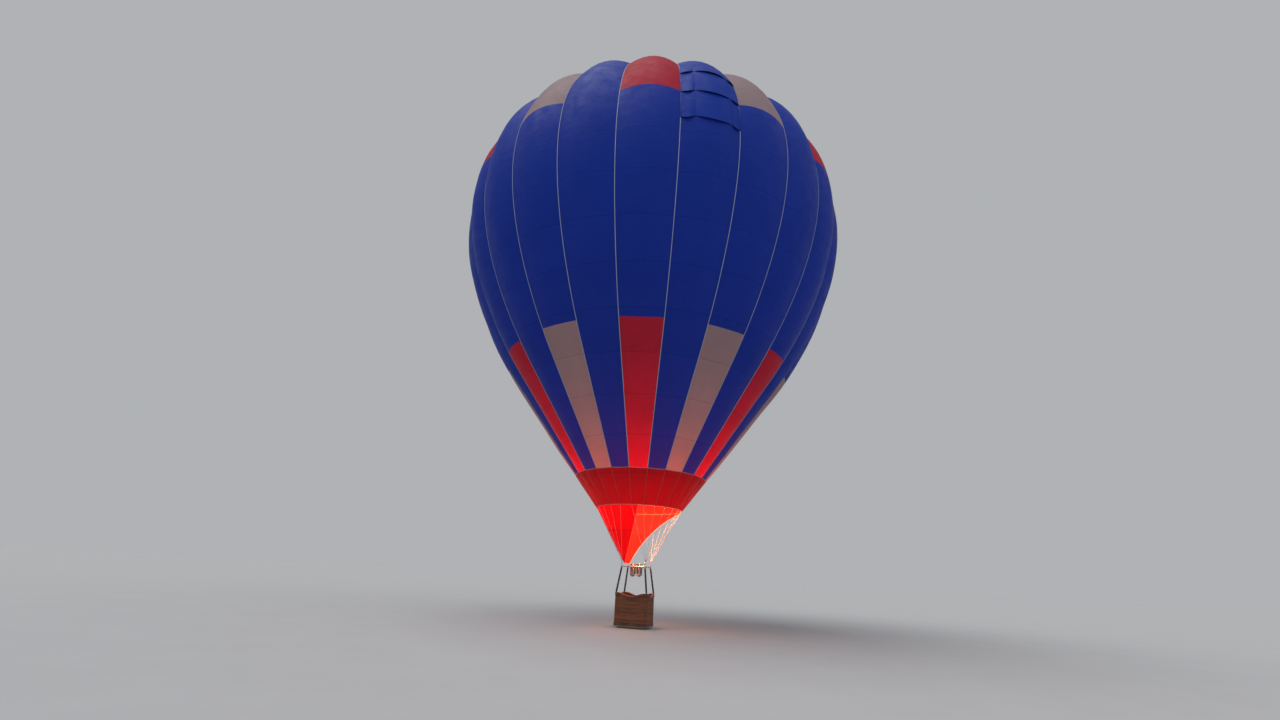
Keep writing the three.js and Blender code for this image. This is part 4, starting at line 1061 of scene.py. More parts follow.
for corner in CORNERS:
    parts = Parts()
    eye = circle(EYE_RADIUS, 28)[:, [0, 2, 1]] + EYE_HEIGHT * UP
    parts.tube(corner.at(eye), EYE_ROD, 12, closed=True, start_side=corner.aside)

    # The cone that holds the wires' lower ends
    foot = corner.place + (EYE_HEIGHT + EYE_RADIUS) * UP
    azimuths = corner.azimuth + GORE_ANGLE * (np.arange(WIRES_PER_CORNER) - (WIRES_PER_CORNER - 1) / 2)
    heads = fabric(azimuths, WIRE_TOP, 1.0, CAD_FABRIC / 2 + WIRE_INSET)
    gather = unit(heads.mean(axis=0) - foot)
    socket = foot + np.outer([-0.006, 0.004, 0.018, 0.040, 0.052, 0.055], gather)
    parts.tube(socket, [0.0065, 0.0085, 0.0120, 0.0165, 0.0165, 0.0140], 20)

    # Each wire, a ferrule near each of its ends, and the link with its nut that it hangs from
    for head in heads:
        along = unit(head - foot)
        fitting = np.linalg.norm(head - foot) - HEAD_FITTING
        parts.rods(foot, along, (0.02, fitting - 0.004, WIRE_RADIUS, 12, 0, 1),
                   (0.048, 0.098, 0.0052, 12, 0.001), (fitting - 0.045, fitting + 0.001, 0.0055, 12, 0.001))
        aside = unit(np.cross(along, UP))
        middle = head - (HEAD_FITTING / 2 + 0.001) * along
        link = circle(1, 20) @ [HEAD_LINK_HALF_WIDTH * aside, 0.44 * HEAD_FITTING * along, UP]
        parts.tube(middle + link, 0.0028, 8, closed=True, start_side=np.cross(along, aside))
        parts.rod(middle + HEAD_LINK_HALF_WIDTH * aside, along, -0.006, 0.006, 0.0045, 6, 0.0006)
    parts.piece(f"flying_wire_set_{corner.name}", [frame_steel, wire_steel], "wire_steel",
                [f"flying_wires_{corner.name}"])

# Karabiners, each with a screw sleeve on its gate
gate_low = KARABINER_LOW + KARABINER_BEND
bend = np.radians(np.arange(0, 181, 15))
upper_bend = KARABINER_BEND * np.stack([0 * bend, np.cos(bend), np.sin(bend)], axis=1)
karabiner_line = np.concatenate([
    gate_low * UP - upper_bend, (gate_low + KARABINER_STRAIGHT) * UP + upper_bend,
])
for corner in CORNERS:
    parts = Parts()
    parts.tube(corner.at(karabiner_line), KARABINER_ROD, 14, closed=True, start_side=corner.out)
    gate = corner.at([0, KARABINER_BEND, gate_low])
    ridges = [(low, low + 0.0022, 0.0097, 18, 0.0005) for low in 0.024 + 0.005 * np.arange(5)]
    parts.rods(gate, UP, (0.018, 0.052, 0.0092, 18, 0.0012), *ridges)
    parts.rod(gate + 0.004 * UP, corner.out, -0.0072, 0.0072, 0.0022, 10, 0.0004)
    parts.piece(f"karabiner_steel_{corner.name}", [frame_steel], "frame_steel", [f"karabiner_{corner.name}"])

# Load frame
FRAME_MIDDLE = FRAME_HEIGHT * UP
tube_x, tube_y = FRAME_LENGTH / 2 - FRAME_TUBE_RADIUS, FRAME_WIDTH / 2 - FRAME_TUBE_RADIUS
parts = Parts()
frame_line = rounded_loop(2 * tube_x, 2 * tube_y, FRAME_CORNER_RADIUS, 12, FRAME_HEIGHT)
parts.tube(frame_line, FRAME_TUBE_RADIUS, 20, closed=True)
lug_outer = squared_loop(LUG_WIDTH, LUG_TOP, 0.42, 40) + [0, LUG_TOP / 2]
lug_inner = squared_loop(LUG_HOLE_SIZE, LUG_HOLE_SIZE, 0.62, 40) + [0, LUG_HOLE_TOP - LUG_HOLE_SIZE / 2]
weld = squared_loop(LUG_WIDTH + 0.004, LUG_THICKNESS + 0.006, 0.5, 32)
weld_rings = [
    lifted(weld * size, height)
    for height, size in ((0.010, 1.0), (0.0185, 1.0), (0.0225, 0.90), (0.0225, 0.5))
]
cup = [
    (0, -0.004), (SOCKET_RADIUS - 0.002, -0.004), (SOCKET_RADIUS, -0.006),
    (SOCKET_RADIUS, 0.012 - SOCKET_DEPTH), (SOCKET_RADIUS + 0.003, 0.010 - SOCKET_DEPTH),
    (SOCKET_RADIUS + 0.003, 0.002 - SOCKET_DEPTH), (SOCKET_RADIUS + 0.001, -SOCKET_DEPTH), (0, -SOCKET_DEPTH),
]

# At each corner a lug with its weld, and a socket with two bolts
for corner in CORNERS:
    parts.rings(corner.at(pierced_plate(lug_outer, lug_inner, LUG_THICKNESS, 0.0012)), closed=True)
    parts.rings(corner.at(weld_rings))
    parts.lathe(cup, 28, corner.place)
    for side in (1, -1):
        parts.bolt(corner.at([side * (SOCKET_RADIUS - 0.001), 0, -0.030]), side * corner.out, 0.013)

# On each side the outer pivot with its collar, nut and cap, and two clamps on the tube
for side in (-1, 1):
    parts.rods(FRAME_MIDDLE, (side, 0, 0),
               (GIMBAL_RADIUS + GIMBAL_TUBE_RADIUS + 0.002, tube_x, PIVOT_RADIUS, 24, 0.001),
               (tube_x - 0.040, tube_x - 0.014, 0.0175, 24, 0.003),
               (tube_x - 0.052, tube_x - 0.039, 0.0150, 6, 0.001),
               (FRAME_LENGTH / 2 - 0.006, FRAME_LENGTH / 2 + 0.0015, 0.014, 24, 0.001))
    for x in (-0.20, 0.20):
        clamp = (x, side * tube_y, FRAME_HEIGHT)
        parts.rod(clamp, (1, 0, 0), -0.011, 0.011, FRAME_TUBE_RADIUS + 0.002, 24, 0.0008)
parts.piece("load_frame_tube", [frame_steel], "frame_steel", ["load_frame"])

# Gimbal ring with its four bored bosses
Z_TO_X = np.array([[0, 0, 1], [0, 1, 0], [-1, 0, 0]])
half = BOSS_LENGTH / 2
boss_end = [
    (PIVOT_BORE_RADIUS, half - 0.001), (PIVOT_BORE_RADIUS + 0.001, half),
    (BOSS_RADIUS - 0.002, half), (BOSS_RADIUS, half - 0.002),
]
boss = [(radius, -height) for radius, height in boss_end] + boss_end[::-1]
parts = Parts()
parts.tube(circle(GIMBAL_RADIUS, 72, FRAME_HEIGHT), GIMBAL_TUBE_RADIUS, 16, closed=True)
for quarter, place in zip(range(4), circle(GIMBAL_RADIUS, 4, FRAME_HEIGHT)):
    parts.lathe(boss, 28, place, turn_about_z(90 * quarter) @ Z_TO_X)
    parts.rod(place, UP, BOSS_RADIUS - 0.001, BOSS_RADIUS + 0.004, 0.0032, 6, 0.0006)
parts.piece("gimbal_ring_tube", [frame_steel], "frame_steel", ["gimbal_ring"], "gimbal_ring")

# Burner frame: hoop, pivots, struts and the block under the coils
hoop_y = HOOP_WIDTH / 2 - HOOP_TUBE_RADIUS
block_top = FRAME_HEIGHT + COIL_BASE - GAP
block_middle = block_top - BLOCK_THICKNESS / 2
parts = Parts()
hoop_line = rounded_loop(HOOP_LENGTH - 2 * HOOP_TUBE_RADIUS, 2 * hoop_y, HOOP_CORNER_RADIUS, 10, FRAME_HEIGHT)
parts.tube(hoop_line, HOOP_TUBE_RADIUS, 16, closed=True)
block_line = squared_loop(1, 1, 0.24, 48)
block_rings = []
for share, inset in ((-0.5, 0.004), (-0.38, 0.0), (0.38, 0.0), (0.5, 0.004)):
    ring = block_line * (BLOCK_LENGTH - 2 * inset, BLOCK_WIDTH - 2 * inset)
    block_rings.append(lifted(ring, block_middle + share * BLOCK_THICKNESS))
parts.rings(block_rings, slot=1)

# On each side the inner pivot with its collar and nut, and two struts with their clamps, nuts and bolts
for side in (-1, 1):
    boss_low = GIMBAL_RADIUS - BOSS_LENGTH / 2
    parts.rods(FRAME_MIDDLE, (0, side, 0),
               (hoop_y, boss_low + BOSS_LENGTH - 0.005, PIVOT_RADIUS, 24, 0.001),
               (hoop_y + 0.006, hoop_y + 0.034, 0.0165, 24, 0.003),
               (boss_low - 0.012, boss_low - 0.002, 0.0155, 6, 0.001))
    for end in (-1, 1):
        strut = (end * STRUT_SPACING / 2, side * hoop_y, 0)
        parts.rods(strut, UP, (block_middle, FRAME_HEIGHT, STRUT_RADIUS),
                   (FRAME_HEIGHT - 0.024, FRAME_HEIGHT - 0.008, 0.0105, 20, 0.002),
                   (block_top - 0.002, block_top + 0.016, 0.0120, 6, 0.001))
        parts.bolt(strut + (block_top - BLOCK_THICKNESS) * UP, -UP, 0.016)
    for x, y, size in ((-0.185, 0.085, 0.013), (0, 0.115, 0.016), (0.185, 0.085, 0.013)):
        parts.bolt((x, side * y, block_top - 0.0005), UP, size)

# Pipe that joins the two valves
crossover_ends = [(-COIL_SPACING / 2, 0.055, -0.040), (0.030 - COIL_SPACING / 2, 0.062, -0.042)]
crossover = crossover_ends + [(x, 0.062, -0.042) for x in np.linspace(-0.07, 0.07, 6)]
crossover += [(-x, y, z) for x, y, z in crossover_ends[::-1]]
parts.tube(crossover + block_middle * UP, 0.006, 14)
parts.piece("burner_frame_tube", [frame_steel, block_alloy], "frame_steel", ["burner_frame"], "burner")

# Burner coils: a helix of pipe round a can, with a ring of jets and a pilot light inside
SIDES = (("left", -1), ("right", 1))
wrap = COIL_RADIUS - COIL_PIPE_RADIUS
pilot = [
    (0, 0.060), (0.016, 0.060), (0.019, 0.064), (0.019, 0.094), (0.016, 0.094), (0.016, 0.066), (0, 0.066),
]
for name, side in SIDES:
    middle = np.array([side * COIL_SPACING / 2, 0, FRAME_HEIGHT])
    base = middle + COIL_BASE * UP
    coil_height = COIL_TOP - COIL_BASE
    parts = Parts()
    turns = np.linspace(0, COIL_TURNS, COIL_TURNS * 36 + 1)
    heights = COIL_PIPE_RADIUS + (coil_height - 2 * COIL_PIPE_RADIUS) * turns / COIL_TURNS
    helix = [wrap * np.cos(2 * np.pi * turns), side * wrap * np.sin(2 * np.pi * turns), heights]
    parts.tube(np.stack(helix, axis=1) + base, COIL_PIPE_RADIUS, 8)

    # The can, and three bolted bars that hold the coil
    can = [
        (CAN_RADIUS - 0.002, 0.001), (CAN_RADIUS, 0.001), (CAN_RADIUS, coil_height - 0.012),
        (CAN_RADIUS + 0.004, coil_height - 0.008), (CAN_RADIUS + 0.004, coil_height - 0.004),
        (CAN_RADIUS, coil_height - 0.003), (CAN_RADIUS - 0.002, coil_height - 0.006),
    ]
    parts.lathe(can, 48, base, slot=1)
    for angle in (60, 180, 300):
        turn = turn_about_z(angle)
        out = turn[:, 0]
        bar = base + (COIL_RADIUS + 0.0012) * out + coil_height / 2 * UP
        parts.box((0.003, 0.013, coil_height - 0.008), bar, turn, 0.0008, 1)
        for height in (0.03, coil_height - 0.03):
            parts.bolt(base + (COIL_RADIUS + 0.0027) * out + height * UP, out, 0.008, 1)

    # Ring of jets on three spokes, and the pilot light in the middle
    parts.tube(circle(JET_RING_RADIUS, 36, 0.030) + base, 0.008, 12, closed=True)
    for jet in circle(JET_RING_RADIUS, 12, 0.034) + base:
        parts.tube(jet + np.outer([0, 0.009, 0.014], UP), [0.004, 0.004, 0.002], 8, slot=2)
    for angle in (15, 135, 255):
        parts.rod(base + 0.030 * UP, turn_about_z(angle)[:, 0], 0, CAN_RADIUS - 0.001, 0.0045, 12)
    parts.rod(base, UP, 0.0005, 0.075, 0.012, 20, 0.002, 2)
    parts.lathe(pilot, 24, base, slot=1)

    # The pipe's upper end, turned in towards the can
    elbow = [
        (wrap, 0, COIL_TOP - COIL_PIPE_RADIUS), (wrap - 0.006, side * 0.018, COIL_TOP - 0.006),
        (wrap - 0.014, side * 0.034, COIL_TOP - 0.012), (wrap - 0.030, side * 0.040, COIL_TOP - 0.030),
    ]
    parts.tube(elbow + middle, COIL_PIPE_RADIUS * 0.96, 10)
    parts.piece(f"burner_coil_pipe_{name}", [coil_steel, frame_steel, brass], "burner_coil",
                [f"burner_coil_{name}"], "burner")

# Blast valves: brass bodies with levers towards the front, and a gauge on each
half = VALVE_BODY / 2
for name, side in SIDES:
    middle = np.array([side * COIL_SPACING / 2, 0, block_top - BLOCK_THICKNESS - GAP - half])
    parts = Parts()
    parts.box(3 * (VALVE_BODY,), middle, np.eye(3), 0.006)
    for way in ((1, 0, 0), (-1, 0, 0), (0, 1, 0)):
        parts.rods(middle, way, (half - 0.001, half + 0.009, 0.018, 6, 0.0015),
                   (half + 0.008, half + 0.019, 0.012, 20, 0.0015))

    # Ridged inlet, and the lever with its hub and grip
    inlet = half + 0.018
    ridges = [(inlet + low, inlet + low + 0.002, 0.0112, 20, 0.0005) for low in 0.004 * np.arange(1, 6)]
    parts.rods(middle, (0, 1, 0), (inlet, inlet + 0.026, 0.010, 20, 0.001), *ridges)
    reach = np.array([side * VALVE_LEVER_SPLAY, -VALVE_LEVER_LENGTH, -VALVE_LEVER_DROP])
    along, length = unit(reach), np.linalg.norm(reach)
    parts.rods(middle, along, (half - 0.004, half + 0.012, 0.014, 20, 0.002),
               (half + 0.010, length - 0.08, 0.0060, 14, 0, 1))
    grip = length - np.array([0.092, 0.088, 0.078, 0.058, 0.038, 0.020, 0.008, 0.002, 0.0])
    grip_radii = [0.0065, 0.0090, 0.0105, 0.0098, 0.0108, 0.0098, 0.0102, 0.0080, 0.0045]
    parts.tube(middle + np.outer(grip, along), grip_radii, 18, slot=2)

    # Gauge
    dial = middle + [side * (half + 0.016), -0.006, 0.0]
    stem = np.array([side * 0.012, -0.012, 0.010])
    parts.tube([dial, dial + stem], 0.005, 12)
    facing = unit(np.array([0, -1.0, -0.35]))
    parts.rods(dial + stem, facing, (-0.012, 0.008, 0.021, 28, 0.002, 1), (0.0075, 0.0085, 0.018, 28, 0, 3))
    hand = unit(np.cross(facing, [side, 0, 0.4]))
    parts.rod(dial + stem + 0.0092 * facing, hand, -0.003, 0.014, 0.0008, 6, 0, 2)
    parts.piece(f"blast_valve_brass_{name}", [brass, frame_steel, red_paint, dial_enamel], "valve_brass",
                [f"blast_valve_{name}"], "burner")


# Basket

def loop_stations(count, start=0.0):
    """Evenly spaced places round the basket, the ways out there, and how deep the wall's top dips, 0 to 1."""
    bend = math.pi / 2 * BASKET_CORNER_RADIUS
    sizes = (BASKET_LENGTH, BASKET_WIDTH)
    straights = [size - 2 * BASKET_CORNER_RADIUS for size in sizes]
    total = 2 * sum(straights) + 4 * bend
    places, outs, dips = [], [], []
    for station in range(count):
        along = total * (station + start) / count
        side = 0
        while along >= straights[side % 2] + bend:
            along -= straights[side % 2] + bend
            side += 1
        straight = straights[side % 2]
        on_side = min(along, straight)
        across, ahead = turn_about_z(90 * side - 90).T[:2]
        out = turn_about_z(90 * side - 90 + 90 * (along - on_side) / bend)[:2, 0]
        reach = sizes[1 - side % 2] / 2 - BASKET_CORNER_RADIUS
        places.append(reach * across[:2] + (on_side - straight / 2) * ahead[:2] + BASKET_CORNER_RADIUS * out)
        outs.append(out)
        dips.append(math.sin(math.pi * on_side / straight) ** 2)
    return np.array(places), np.array(outs), np.array(dips)


WALL_BASE = RUNNER_HEIGHT + FLOOR_THICKNESS + GAP
WEAVE_SWING = BASKET_WALL / 2 - CANE_RADIUS


def wall_height(stations, share):
    return WALL_BASE + share * (BASKET_TOP - BASKET_TOP_DIP * stations[2] - WALL_BASE)


def wall_points(stations, inset, height):
    """Points at a height, set in from the wall's outside."""
    places, outs = stations[:2]
    return lifted(places - np.asarray(inset)[..., None] * outs, height)


weave_stations = loop_stations(2 * STAKE_COUNT)
step = np.arange(2 * STAKE_COUNT)
parts = Parts()
for row in range(WEAVE_ROWS):
    size = CANE_RADIUS * (1.0 + 0.07 * math.sin(2.3 * row))
    inset = BASKET_WALL / 2 - (WEAVE_SWING - (size - CANE_RADIUS)) * np.cos(np.pi * (step / 2 + row % 2))
    height = wall_height(weave_stations, (row + 0.5) / WEAVE_ROWS) + 0.0011 * np.sin(0.37 * step + 1.9 * row)
    parts.tube(wall_points(weave_stations, inset, height), size, 5, closed=True, slot=int(row in DARK_ROWS))
parts.piece("basket_weave", [cane, cane_dark], "wicker", ["basket_wall"], sharp_angle=180)

# Stakes of the weave, and the twisted bands between its stretches
stake_stations = loop_stations(STAKE_COUNT, 0.5)
shares = np.linspace(0.0, 1.0, 9)
parts = Parts()
for stake in range(STAKE_COUNT):
    station = [np.repeat(values[stake:stake + 1], len(shares), axis=0) for values in stake_stations]
    inset = BASKET_WALL / 2 + 0.0012 * np.sin(7 * shares + stake)
    path = wall_points(station, inset, wall_height(station, shares))
    parts.tube(path, STAKE_RADIUS * (1 + 0.08 * math.sin(3.1 * stake)), 7, slot=1)
for row in WALE_ROWS:
    for strand in range(2):
        phase = np.pi * (step / 2 + strand)
        height = wall_height(weave_stations, (row + 0.5) / WEAVE_ROWS) + 0.0048 * np.sin(phase)
        inset = BASKET_WALL / 2 - (WEAVE_SWING + 0.0012) * np.cos(phase)
        parts.tube(wall_points(weave_stations, inset, height), CANE_RADIUS * 1.12, 6, closed=True, slot=1)
parts.piece("basket_stakes", [cane, cane_dark], "wicker", sharp_angle=180)

# Rim: padded roll under leather, tied down at eight places round it
rim_stations = loop_stations(RIM_STATIONS)
rim_top = wall_height(rim_stations, 1)
station = np.arange(RIM_STATIONS)
swell = np.minimum(1.0, 0.97 * (1 + 0.03 * np.sin(0.9 * station) + 0.02 * np.sin(2.3 * station + 1)))
from_tie = station % (RIM_STATIONS / RIM_TIES) - RIM_FIRST_TIE
squeeze = 1 - 0.10 * np.exp(-(from_tie / 1.1) ** 2)
lines = []
for side, up in squared_loop(1.0, 1.0, 0.62, 20):
    height = rim_top + GAP + (up + 0.5) * RIM_DEPTH * swell * (0.5 + 0.5 * squeeze)
    lines.append(wall_points(rim_stations, BASKET_WALL / 2 - side * RIM_WIDTH * swell * squeeze, height))
parts = Parts()
parts.rings(np.swapaxes(lines, 0, 1), closed=True)
rim = parts.piece("basket_rim_roll", [leather], "leather", ["basket_rim"], sharp_angle=60)

# Flaps of the rim's leather, laced through the top of the weave
rows = np.linspace(0.0, 1.0, 6)
parts = Parts()
for side in (1, -1):
    layers = []
    for thick in (0.002, 0.0):
        lines = []
        for row in rows:
            bulge = 0.004 + 0.003 * math.sin(math.pi * row) - 0.004 * (1 - row) ** 2
            below = row * (FLAP_DEPTH + FLAP_COVER - 0.0035 * np.sin(1.3 * station)) - FLAP_COVER
            from_middle = BASKET_WALL / 2 + bulge + thick
            lines.append(wall_points(rim_stations, BASKET_WALL / 2 - side * from_middle, rim_top - below))
        layers.append(np.array(lines))
    parts.sheet(*layers, ring=True)
lace_places, lace_outs, lace_dips = loop_stations(LACE_COUNT, 0.3)
lace_places, lace_outs = lifted(lace_places, 0), lifted(lace_outs, 0)
for place, out, dip in zip(lace_places, lace_outs, lace_dips):
    ahead = np.cross(UP, out)
    low = BASKET_TOP - BASKET_TOP_DIP * dip - FLAP_DEPTH
    for inset, bulge in ((-0.0075, 0.0022), (BASKET_WALL + 0.0075, -0.0022)):
        middle = place - inset * out + (low + 0.003) * UP
        reach = 0.007 * ahead + 0.013 * UP
        lace = [middle - reach, middle + bulge * out, middle + reach]
        parts.tube(lace, [0.0022, 0.0026, 0.0022], 6, slot=1)
parts.piece("basket_rim_flaps", [leather, scuff_leather], "leather", sharp_angle=60)

# Scuff band of hide round the foot of the weave
layers = []
for thick in (0.0022, 0.0):
    layers.append(np.array([
        wall_points(rim_stations, -(0.0014 + 0.0008 * np.sin(1.7 * station + 90 * height) + thick), height)
        for height in WALL_BASE + np.linspace(SCUFF_LOW, SCUFF_HIGH, 7)
    ]))
parts = Parts()
parts.sheet(*layers, ring=True)
for place, out in zip(lace_places, lace_outs):
    middle = place + 0.0045 * out + (WALL_BASE + SCUFF_LACE_HEIGHT) * UP
    parts.rod(middle, np.cross(UP, out), -0.006, 0.006, 0.0014, 6, 0.0004, 1)
parts.piece("basket_scuff_band", [scuff_leather, leather], "leather", sharp_angle=60)

# Floor board and runners
floor_line = loop_stations(96)[0]
board_edge = ((0.0, 0.004), (0.004, 0.0), (FLOOR_THICKNESS - 0.004, 0.0), (FLOOR_THICKNESS, 0.004))
parts = Parts()
parts.rings([
    lifted(floor_line * (1 - 2 * inset / np.array([BASKET_LENGTH, BASKET_WIDTH])), RUNNER_HEIGHT + height)
    for height, inset in board_edge
])
for x, y in product((-0.3, 0.3), (-0.36, 0.36)):
    parts.bolt((x, y, RUNNER_HEIGHT + FLOOR_THICKNESS - 0.001), UP, 0.018, 1)
parts.piece("basket_floor_board", [floor_wood, frame_steel], "wood", ["basket_floor"])

for name, side in (("front", -1), ("back", 1)):
    middle_y = side * RUNNER_SPACING / 2
    rings = []
    for share in (0.0, 0.012, 0.05, 0.5, 0.95, 0.988, 1.0):
        from_end = min(share, 1 - share)
        lift = 0.022 * max(0.0, 1 - from_end / 0.05) ** 2
        trim = 0.004 if from_end < 0.006 else 0.0
        height = RUNNER_HEIGHT - GAP - lift - trim
        rings.append([
            (RUNNER_LENGTH * (share - 0.5), middle_y + y, (z + 0.5) * height + lift)
            for y, z in squared_loop(RUNNER_WIDTH - 2 * trim, 1.0, 0.18, 24)
        ])
    parts = Parts()
    parts.rings(rings)
    for x in (-0.3, 0.3):
        parts.bolt((x, middle_y, 0.0135), -UP, 0.016, 1)
    parts.piece(f"runner_board_{name}", [runner_wood, frame_steel], "wood", [f"runner_{name}"])


# Uprights: poles in padded sleeves, with a cuff at each end, a zip along the inside and three straps

def pinch_at(share):
    """How tightly the straps draw the sleeve in, from 0 to 1."""
    return sum(math.exp(-((share - place) / 0.018) ** 2) for place in STRAP_PLACES)


def strap_outline(radius, thickness, half, height=0.0):
    """Outline of a strap round a pole, with its edges taken off."""
    outer = radius + thickness
    low, high = height - half, height + half
    return [(radius, low), (outer, low + 0.001), (outer, high - 0.001), (radius, high)]


pole_inset = BASKET_CORNER_RADIUS - (BASKET_CORNER_RADIUS - BASKET_WALL / 2) * math.sqrt(0.5)
pole_reach = np.array([BASKET_LENGTH / 2 - pole_inset, BASKET_WIDTH / 2 - pole_inset, 0])
angles = 2 * np.pi * np.arange(SLEEVE_SIDES) / SLEEVE_SIDES
for corner in CORNERS:
    foot = corner.sides * pole_reach + (BASKET_TOP + RIM_DEPTH + 2 * GAP) * UP
    pole = corner.place - (SOCKET_DEPTH + GAP) * UP - foot
    seed = 1.7 * corner.sides[0] + 0.9 * corner.sides[1]
    rings = []
    for share in np.linspace(0, 1, 64):
        from_end = min(share, 1 - share)
        pinch = pinch_at(share)
        size = UPRIGHT_RADIUS - 0.0016 - 0.011 * math.exp(-from_end / 0.012) - 0.0042 * pinch
        lumps = 0.0009 * np.sin(3 * angles + 21 * share + seed) + 0.0007 * np.sin(5 * angles - 34 * share)
        lumps += 0.0008 * pinch * np.sin(9 * angles + seed)
        size += lumps * (1 - math.exp(-from_end / 0.02))
        rings.append(circle(size, SLEEVE_SIDES) + foot + pole * share)
    parts = Parts()
    parts.rings(rings)
    sleeve = parts.piece(f"upright_sleeve_{corner.name}", [upright_nylon], "upright_cover",
                         [f"upright_{corner.name}"], sharp_angle=60)

    parts = Parts()
    for place in STRAP_PLACES + CUFF_PLACES:
        wide, lift = (0.0290, 0.0012) if place in STRAP_PLACES else (0.0245, 0.0)
        centre = foot + pole * place
        parts.lathe(strap_outline(wide + lift, 0.0024, 0.013), SLEEVE_SIDES, centre)
        parts.box((0.006, 0.030, 0.030), centre + (wide + 0.004) * corner.out, corner.matrix, 0.002, 1)
    zip_line = [
        foot + pole * share - (UPRIGHT_RADIUS - 0.0012 - 0.0038 * pinch_at(share)) * corner.out
        for share in np.linspace(0.05, 0.95, 46)
    ]
    parts.tube(zip_line, 0.0021, 6, slot=2)
    puller = foot + pole * 0.06 - (UPRIGHT_RADIUS + 0.0005) * corner.out
    parts.box((0.004, 0.008, 0.022), puller, corner.matrix, 0.001, 1)
    parts.piece(f"upright_straps_{corner.name}", [strap_webbing, black_paint, wire_steel], "webbing")

# Fuel cylinders in quilted jackets, each strapped to the basket's wall
top = CYLINDER_BODY_TOP
collar_low, collar_high = top - 0.020, top + 0.086
jacket_low, jacket_high = 0.045, top - 0.085
wall_inset = BASKET_WALL + CYLINDER_RADIUS + CYLINDER_CLEARANCE
cylinder_reach = np.array([BASKET_LENGTH / 2 - wall_inset, BASKET_WIDTH / 2 - wall_inset, 0])
body = [
    (0, 0.0), (0.112, 0.0), (0.115, 0.003), (0.118, 0.022), (0.130, 0.030), (0.1335, 0.045),
    (0.1335, top - 0.060), (0.128, top - 0.040), (0.112, top - 0.022), (0.085, top - 0.008),
    (0.045, top + 0.002), (0, top + 0.005),
]
angles = 2 * np.pi * np.arange(CYLINDER_SIDES) / CYLINDER_SIDES
for corner in CORNERS:
    base = corner.sides * cylinder_reach + WALL_BASE * UP
    parts = Parts()
    parts.lathe(body, CYLINDER_SIDES, base)

    # Collar of three plates between two rings
    for post in range(3):
        row, angle = grid_of(np.linspace(collar_low, collar_high, 5),
                             np.radians(120 * post + corner.turn + np.linspace(-36, 36, 13)))
        parts.sheet(*(on_azimuth(np.degrees(angle) + 90, radius, row) + base for radius in (0.0945, 0.0915)))
    for height in (collar_high, collar_low + 0.004):
        parts.tube(circle(0.0905, 48, height) + base, 0.0044, 10, closed=True)

    # Valve with its hand wheel, its outlet and a gauge beside it
    valve = base + top * UP
    parts.rods(valve, UP, (0, 0.052, 0.017, 24, 0.002, 1), (0.012, 0.026, 0.024, 6, 0.002, 1),
               (0.050, 0.066, 0.006, 12, 0.0005, 1))
    parts.tube(circle(0.024, 24, 0.068) + valve, 0.0045, 10, closed=True, slot=2)
    for angle in (0, 60, 120):
        parts.rod(valve + 0.068 * UP, turn_about_z(angle)[:, 0], -0.023, 0.023, 0.003, 8, 0, 2)
    parts.rods(valve + 0.034 * UP, -corner.out, (0, 0.060, 0.010, 20, 0.0015, 1),
               (0.040, 0.064, 0.0145, 6, 0.001, 1))
    gauge = valve + 0.048 * corner.aside
    parts.rods(gauge, UP, (0.008, 0.022, 0.022, 28, 0.002), (0.0215, 0.0228, 0.019, 28, 0, 3))
    finishes = [cylinder_metal, brass, red_paint, dial_enamel]
    parts.piece(f"cylinder_body_{corner.name}", finishes, "cylinder_steel", [f"fuel_cylinder_{corner.name}"])

    rings = []
    for share in np.linspace(0, 1, 34):
        quilt = abs(math.sin(math.pi * 5 * share)) ** 0.5 * np.abs(np.sin(5 * angles)) ** 0.4
        size = 0.1352 + 0.0042 * quilt * (1 - math.exp(-min(share, 1 - share) / 0.02))
        size += 0.0004 * np.sin(7 * angles + 30 * share)
        rings.append(circle(size, CYLINDER_SIDES, jacket_low + (jacket_high - jacket_low) * share) + base)
    for height in np.linspace(jacket_high, jacket_low, 5):
        rings.append(circle(0.1337, CYLINDER_SIDES, height) + base)
    parts = Parts()
    parts.rings(rings, closed=True)
    jacket = parts.piece(f"cylinder_jacket_{corner.name}", [jacket_nylon], "upright_cover", sharp_angle=60)

    parts = Parts()
    for height in CYLINDER_STRAP_HEIGHTS:
        parts.lathe(strap_outline(0.1400, 0.0022, 0.0185, height), CYLINDER_SIDES, base)
        buckle = base - 0.1440 * corner.out + height * UP
        parts.box((0.005, 0.046, 0.044), buckle, corner.matrix, 0.0018, 1)
    parts.piece(f"cylinder_straps_{corner.name}", [strap_webbing, frame_steel], "webbing")


# Floor, lights and camera

def linked(name, data):
    thing = bpy.data.objects.new(name, data)
    bpy.context.scene.collection.objects.link(thing)
    return thing


def make_floor():
    finish = Finish("studio_floor")
    base = finish.mix(finish.noise(0.6, 5.0, 0.6), (0.39, 0.395, 0.405), (0.43, 0.435, 0.445))
    mesh = bpy.data.meshes.new("studio_floor")
    mesh.from_pydata(circle(FLOOR_RADIUS, 96).tolist(), [], [tuple(range(96))])
    mesh.materials.append(finish.close(finish.shader(base, 0.9, {"Specular IOR Level": 0.1})))
    floor = linked("studio_floor", mesh)
    return floor


def make_sun(name, strength, angle, azimuth, elevation, colour):
    lamp = bpy.data.lights.new(name, "SUN")
    lamp.energy = strength
    lamp.angle = math.radians(angle)
    lamp.color = colour
    height = math.radians(elevation)
    source = Vector(on_azimuth(azimuth, math.cos(height), math.sin(height)))
    sun = linked(name, lamp)
    sun.rotation_mode = "QUATERNION"
    sun.rotation_quaternion = source.to_track_quat("Z", "Y")


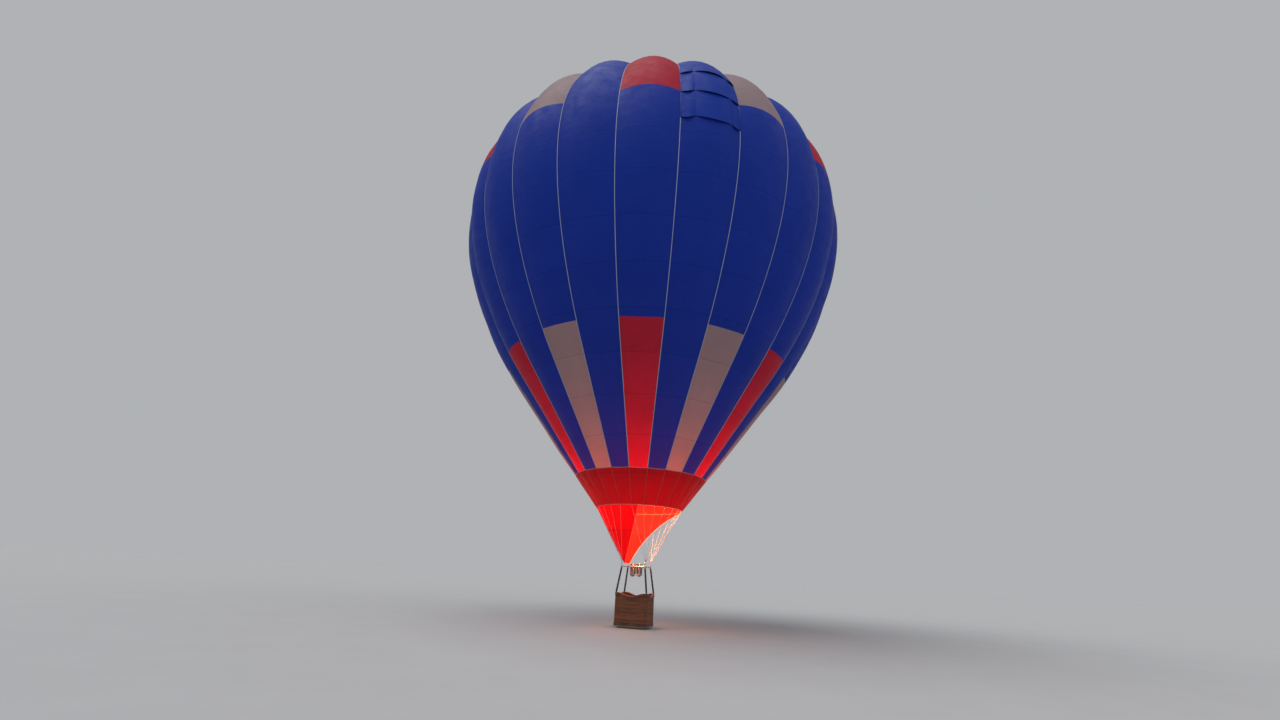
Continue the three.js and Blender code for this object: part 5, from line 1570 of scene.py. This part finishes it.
def make_glow(name, height, power, radius, upwards=False, unlit=None):
    """Light of the burner. Upwards, it lights only what is above it. It never falls on the object unlit."""
    lamp = bpy.data.lights.new(name, "SPOT" if upwards else "POINT")
    lamp.energy = power
    lamp.shadow_soft_size = radius
    lamp.color = (1.0, 0.34, 0.10)
    glow = linked(name, lamp)
    glow.location = (0, 0, height)
    if upwards:
        lamp.spot_size = math.radians(168)
        lamp.spot_blend = 0.5
        glow.rotation_euler = (math.pi, 0, 0)
    if unlit is not None:
        apart = bpy.data.collections.new(f"{name}_unlit")
        apart.objects.link(unlit)
        apart.collection_objects[0].light_linking.link_state = "EXCLUDE"
        glow.light_linking.receiver_collection = apart


def make_world(colour, strength):
    world = bpy.data.worlds.new("studio")
    world.use_nodes = True
    background = world.node_tree.nodes["Background"]
    background.inputs["Color"].default_value = (*colour, 1)
    background.inputs["Strength"].default_value = strength
    bpy.context.scene.world = world


def make_camera():
    heading, tilt, roll = (math.radians(angle) for angle in (CAMERA_HEADING, CAMERA_TILT, CAMERA_ROLL))
    forward = Vector((math.sin(heading) * math.cos(tilt), math.cos(heading) * math.cos(tilt), math.sin(tilt)))
    right = Vector((math.cos(heading), -math.sin(heading), 0))
    up = right.cross(forward)
    turned_right = right * math.cos(roll) - up * math.sin(roll)
    turned_up = right * math.sin(roll) + up * math.cos(roll)
    lens = bpy.data.cameras.new("camera")
    lens.lens = CAMERA_LENS
    lens.sensor_width = 36
    lens.clip_start = 0.05
    lens.clip_end = 2000
    camera = linked("camera", lens)
    turn = Matrix((turned_right, turned_up, -forward)).transposed().to_4x4()
    camera.matrix_world = Matrix.Translation(CAMERA_PLACE) @ turn
    bpy.context.scene.camera = camera


floor = make_floor()
make_world(colour=(0.82, 0.84, 0.87), strength=0.53)
make_sun("key", strength=1.9, angle=50, azimuth=-35, elevation=68, colour=(1.0, 0.98, 0.95))
make_sun("fill", strength=0.4, angle=70, azimuth=60, elevation=35, colour=(0.92, 0.96, 1.0))
make_glow("glow_low", height=2.85, power=150, radius=0.16)
make_glow("glow_mouth", height=3.0, power=520, radius=0.30, upwards=True)
make_glow("glow_inside", height=5.1, power=1700, radius=0.7, unlit=floor)
make_camera()
bpy.context.scene.view_settings.view_transform = "Standard"
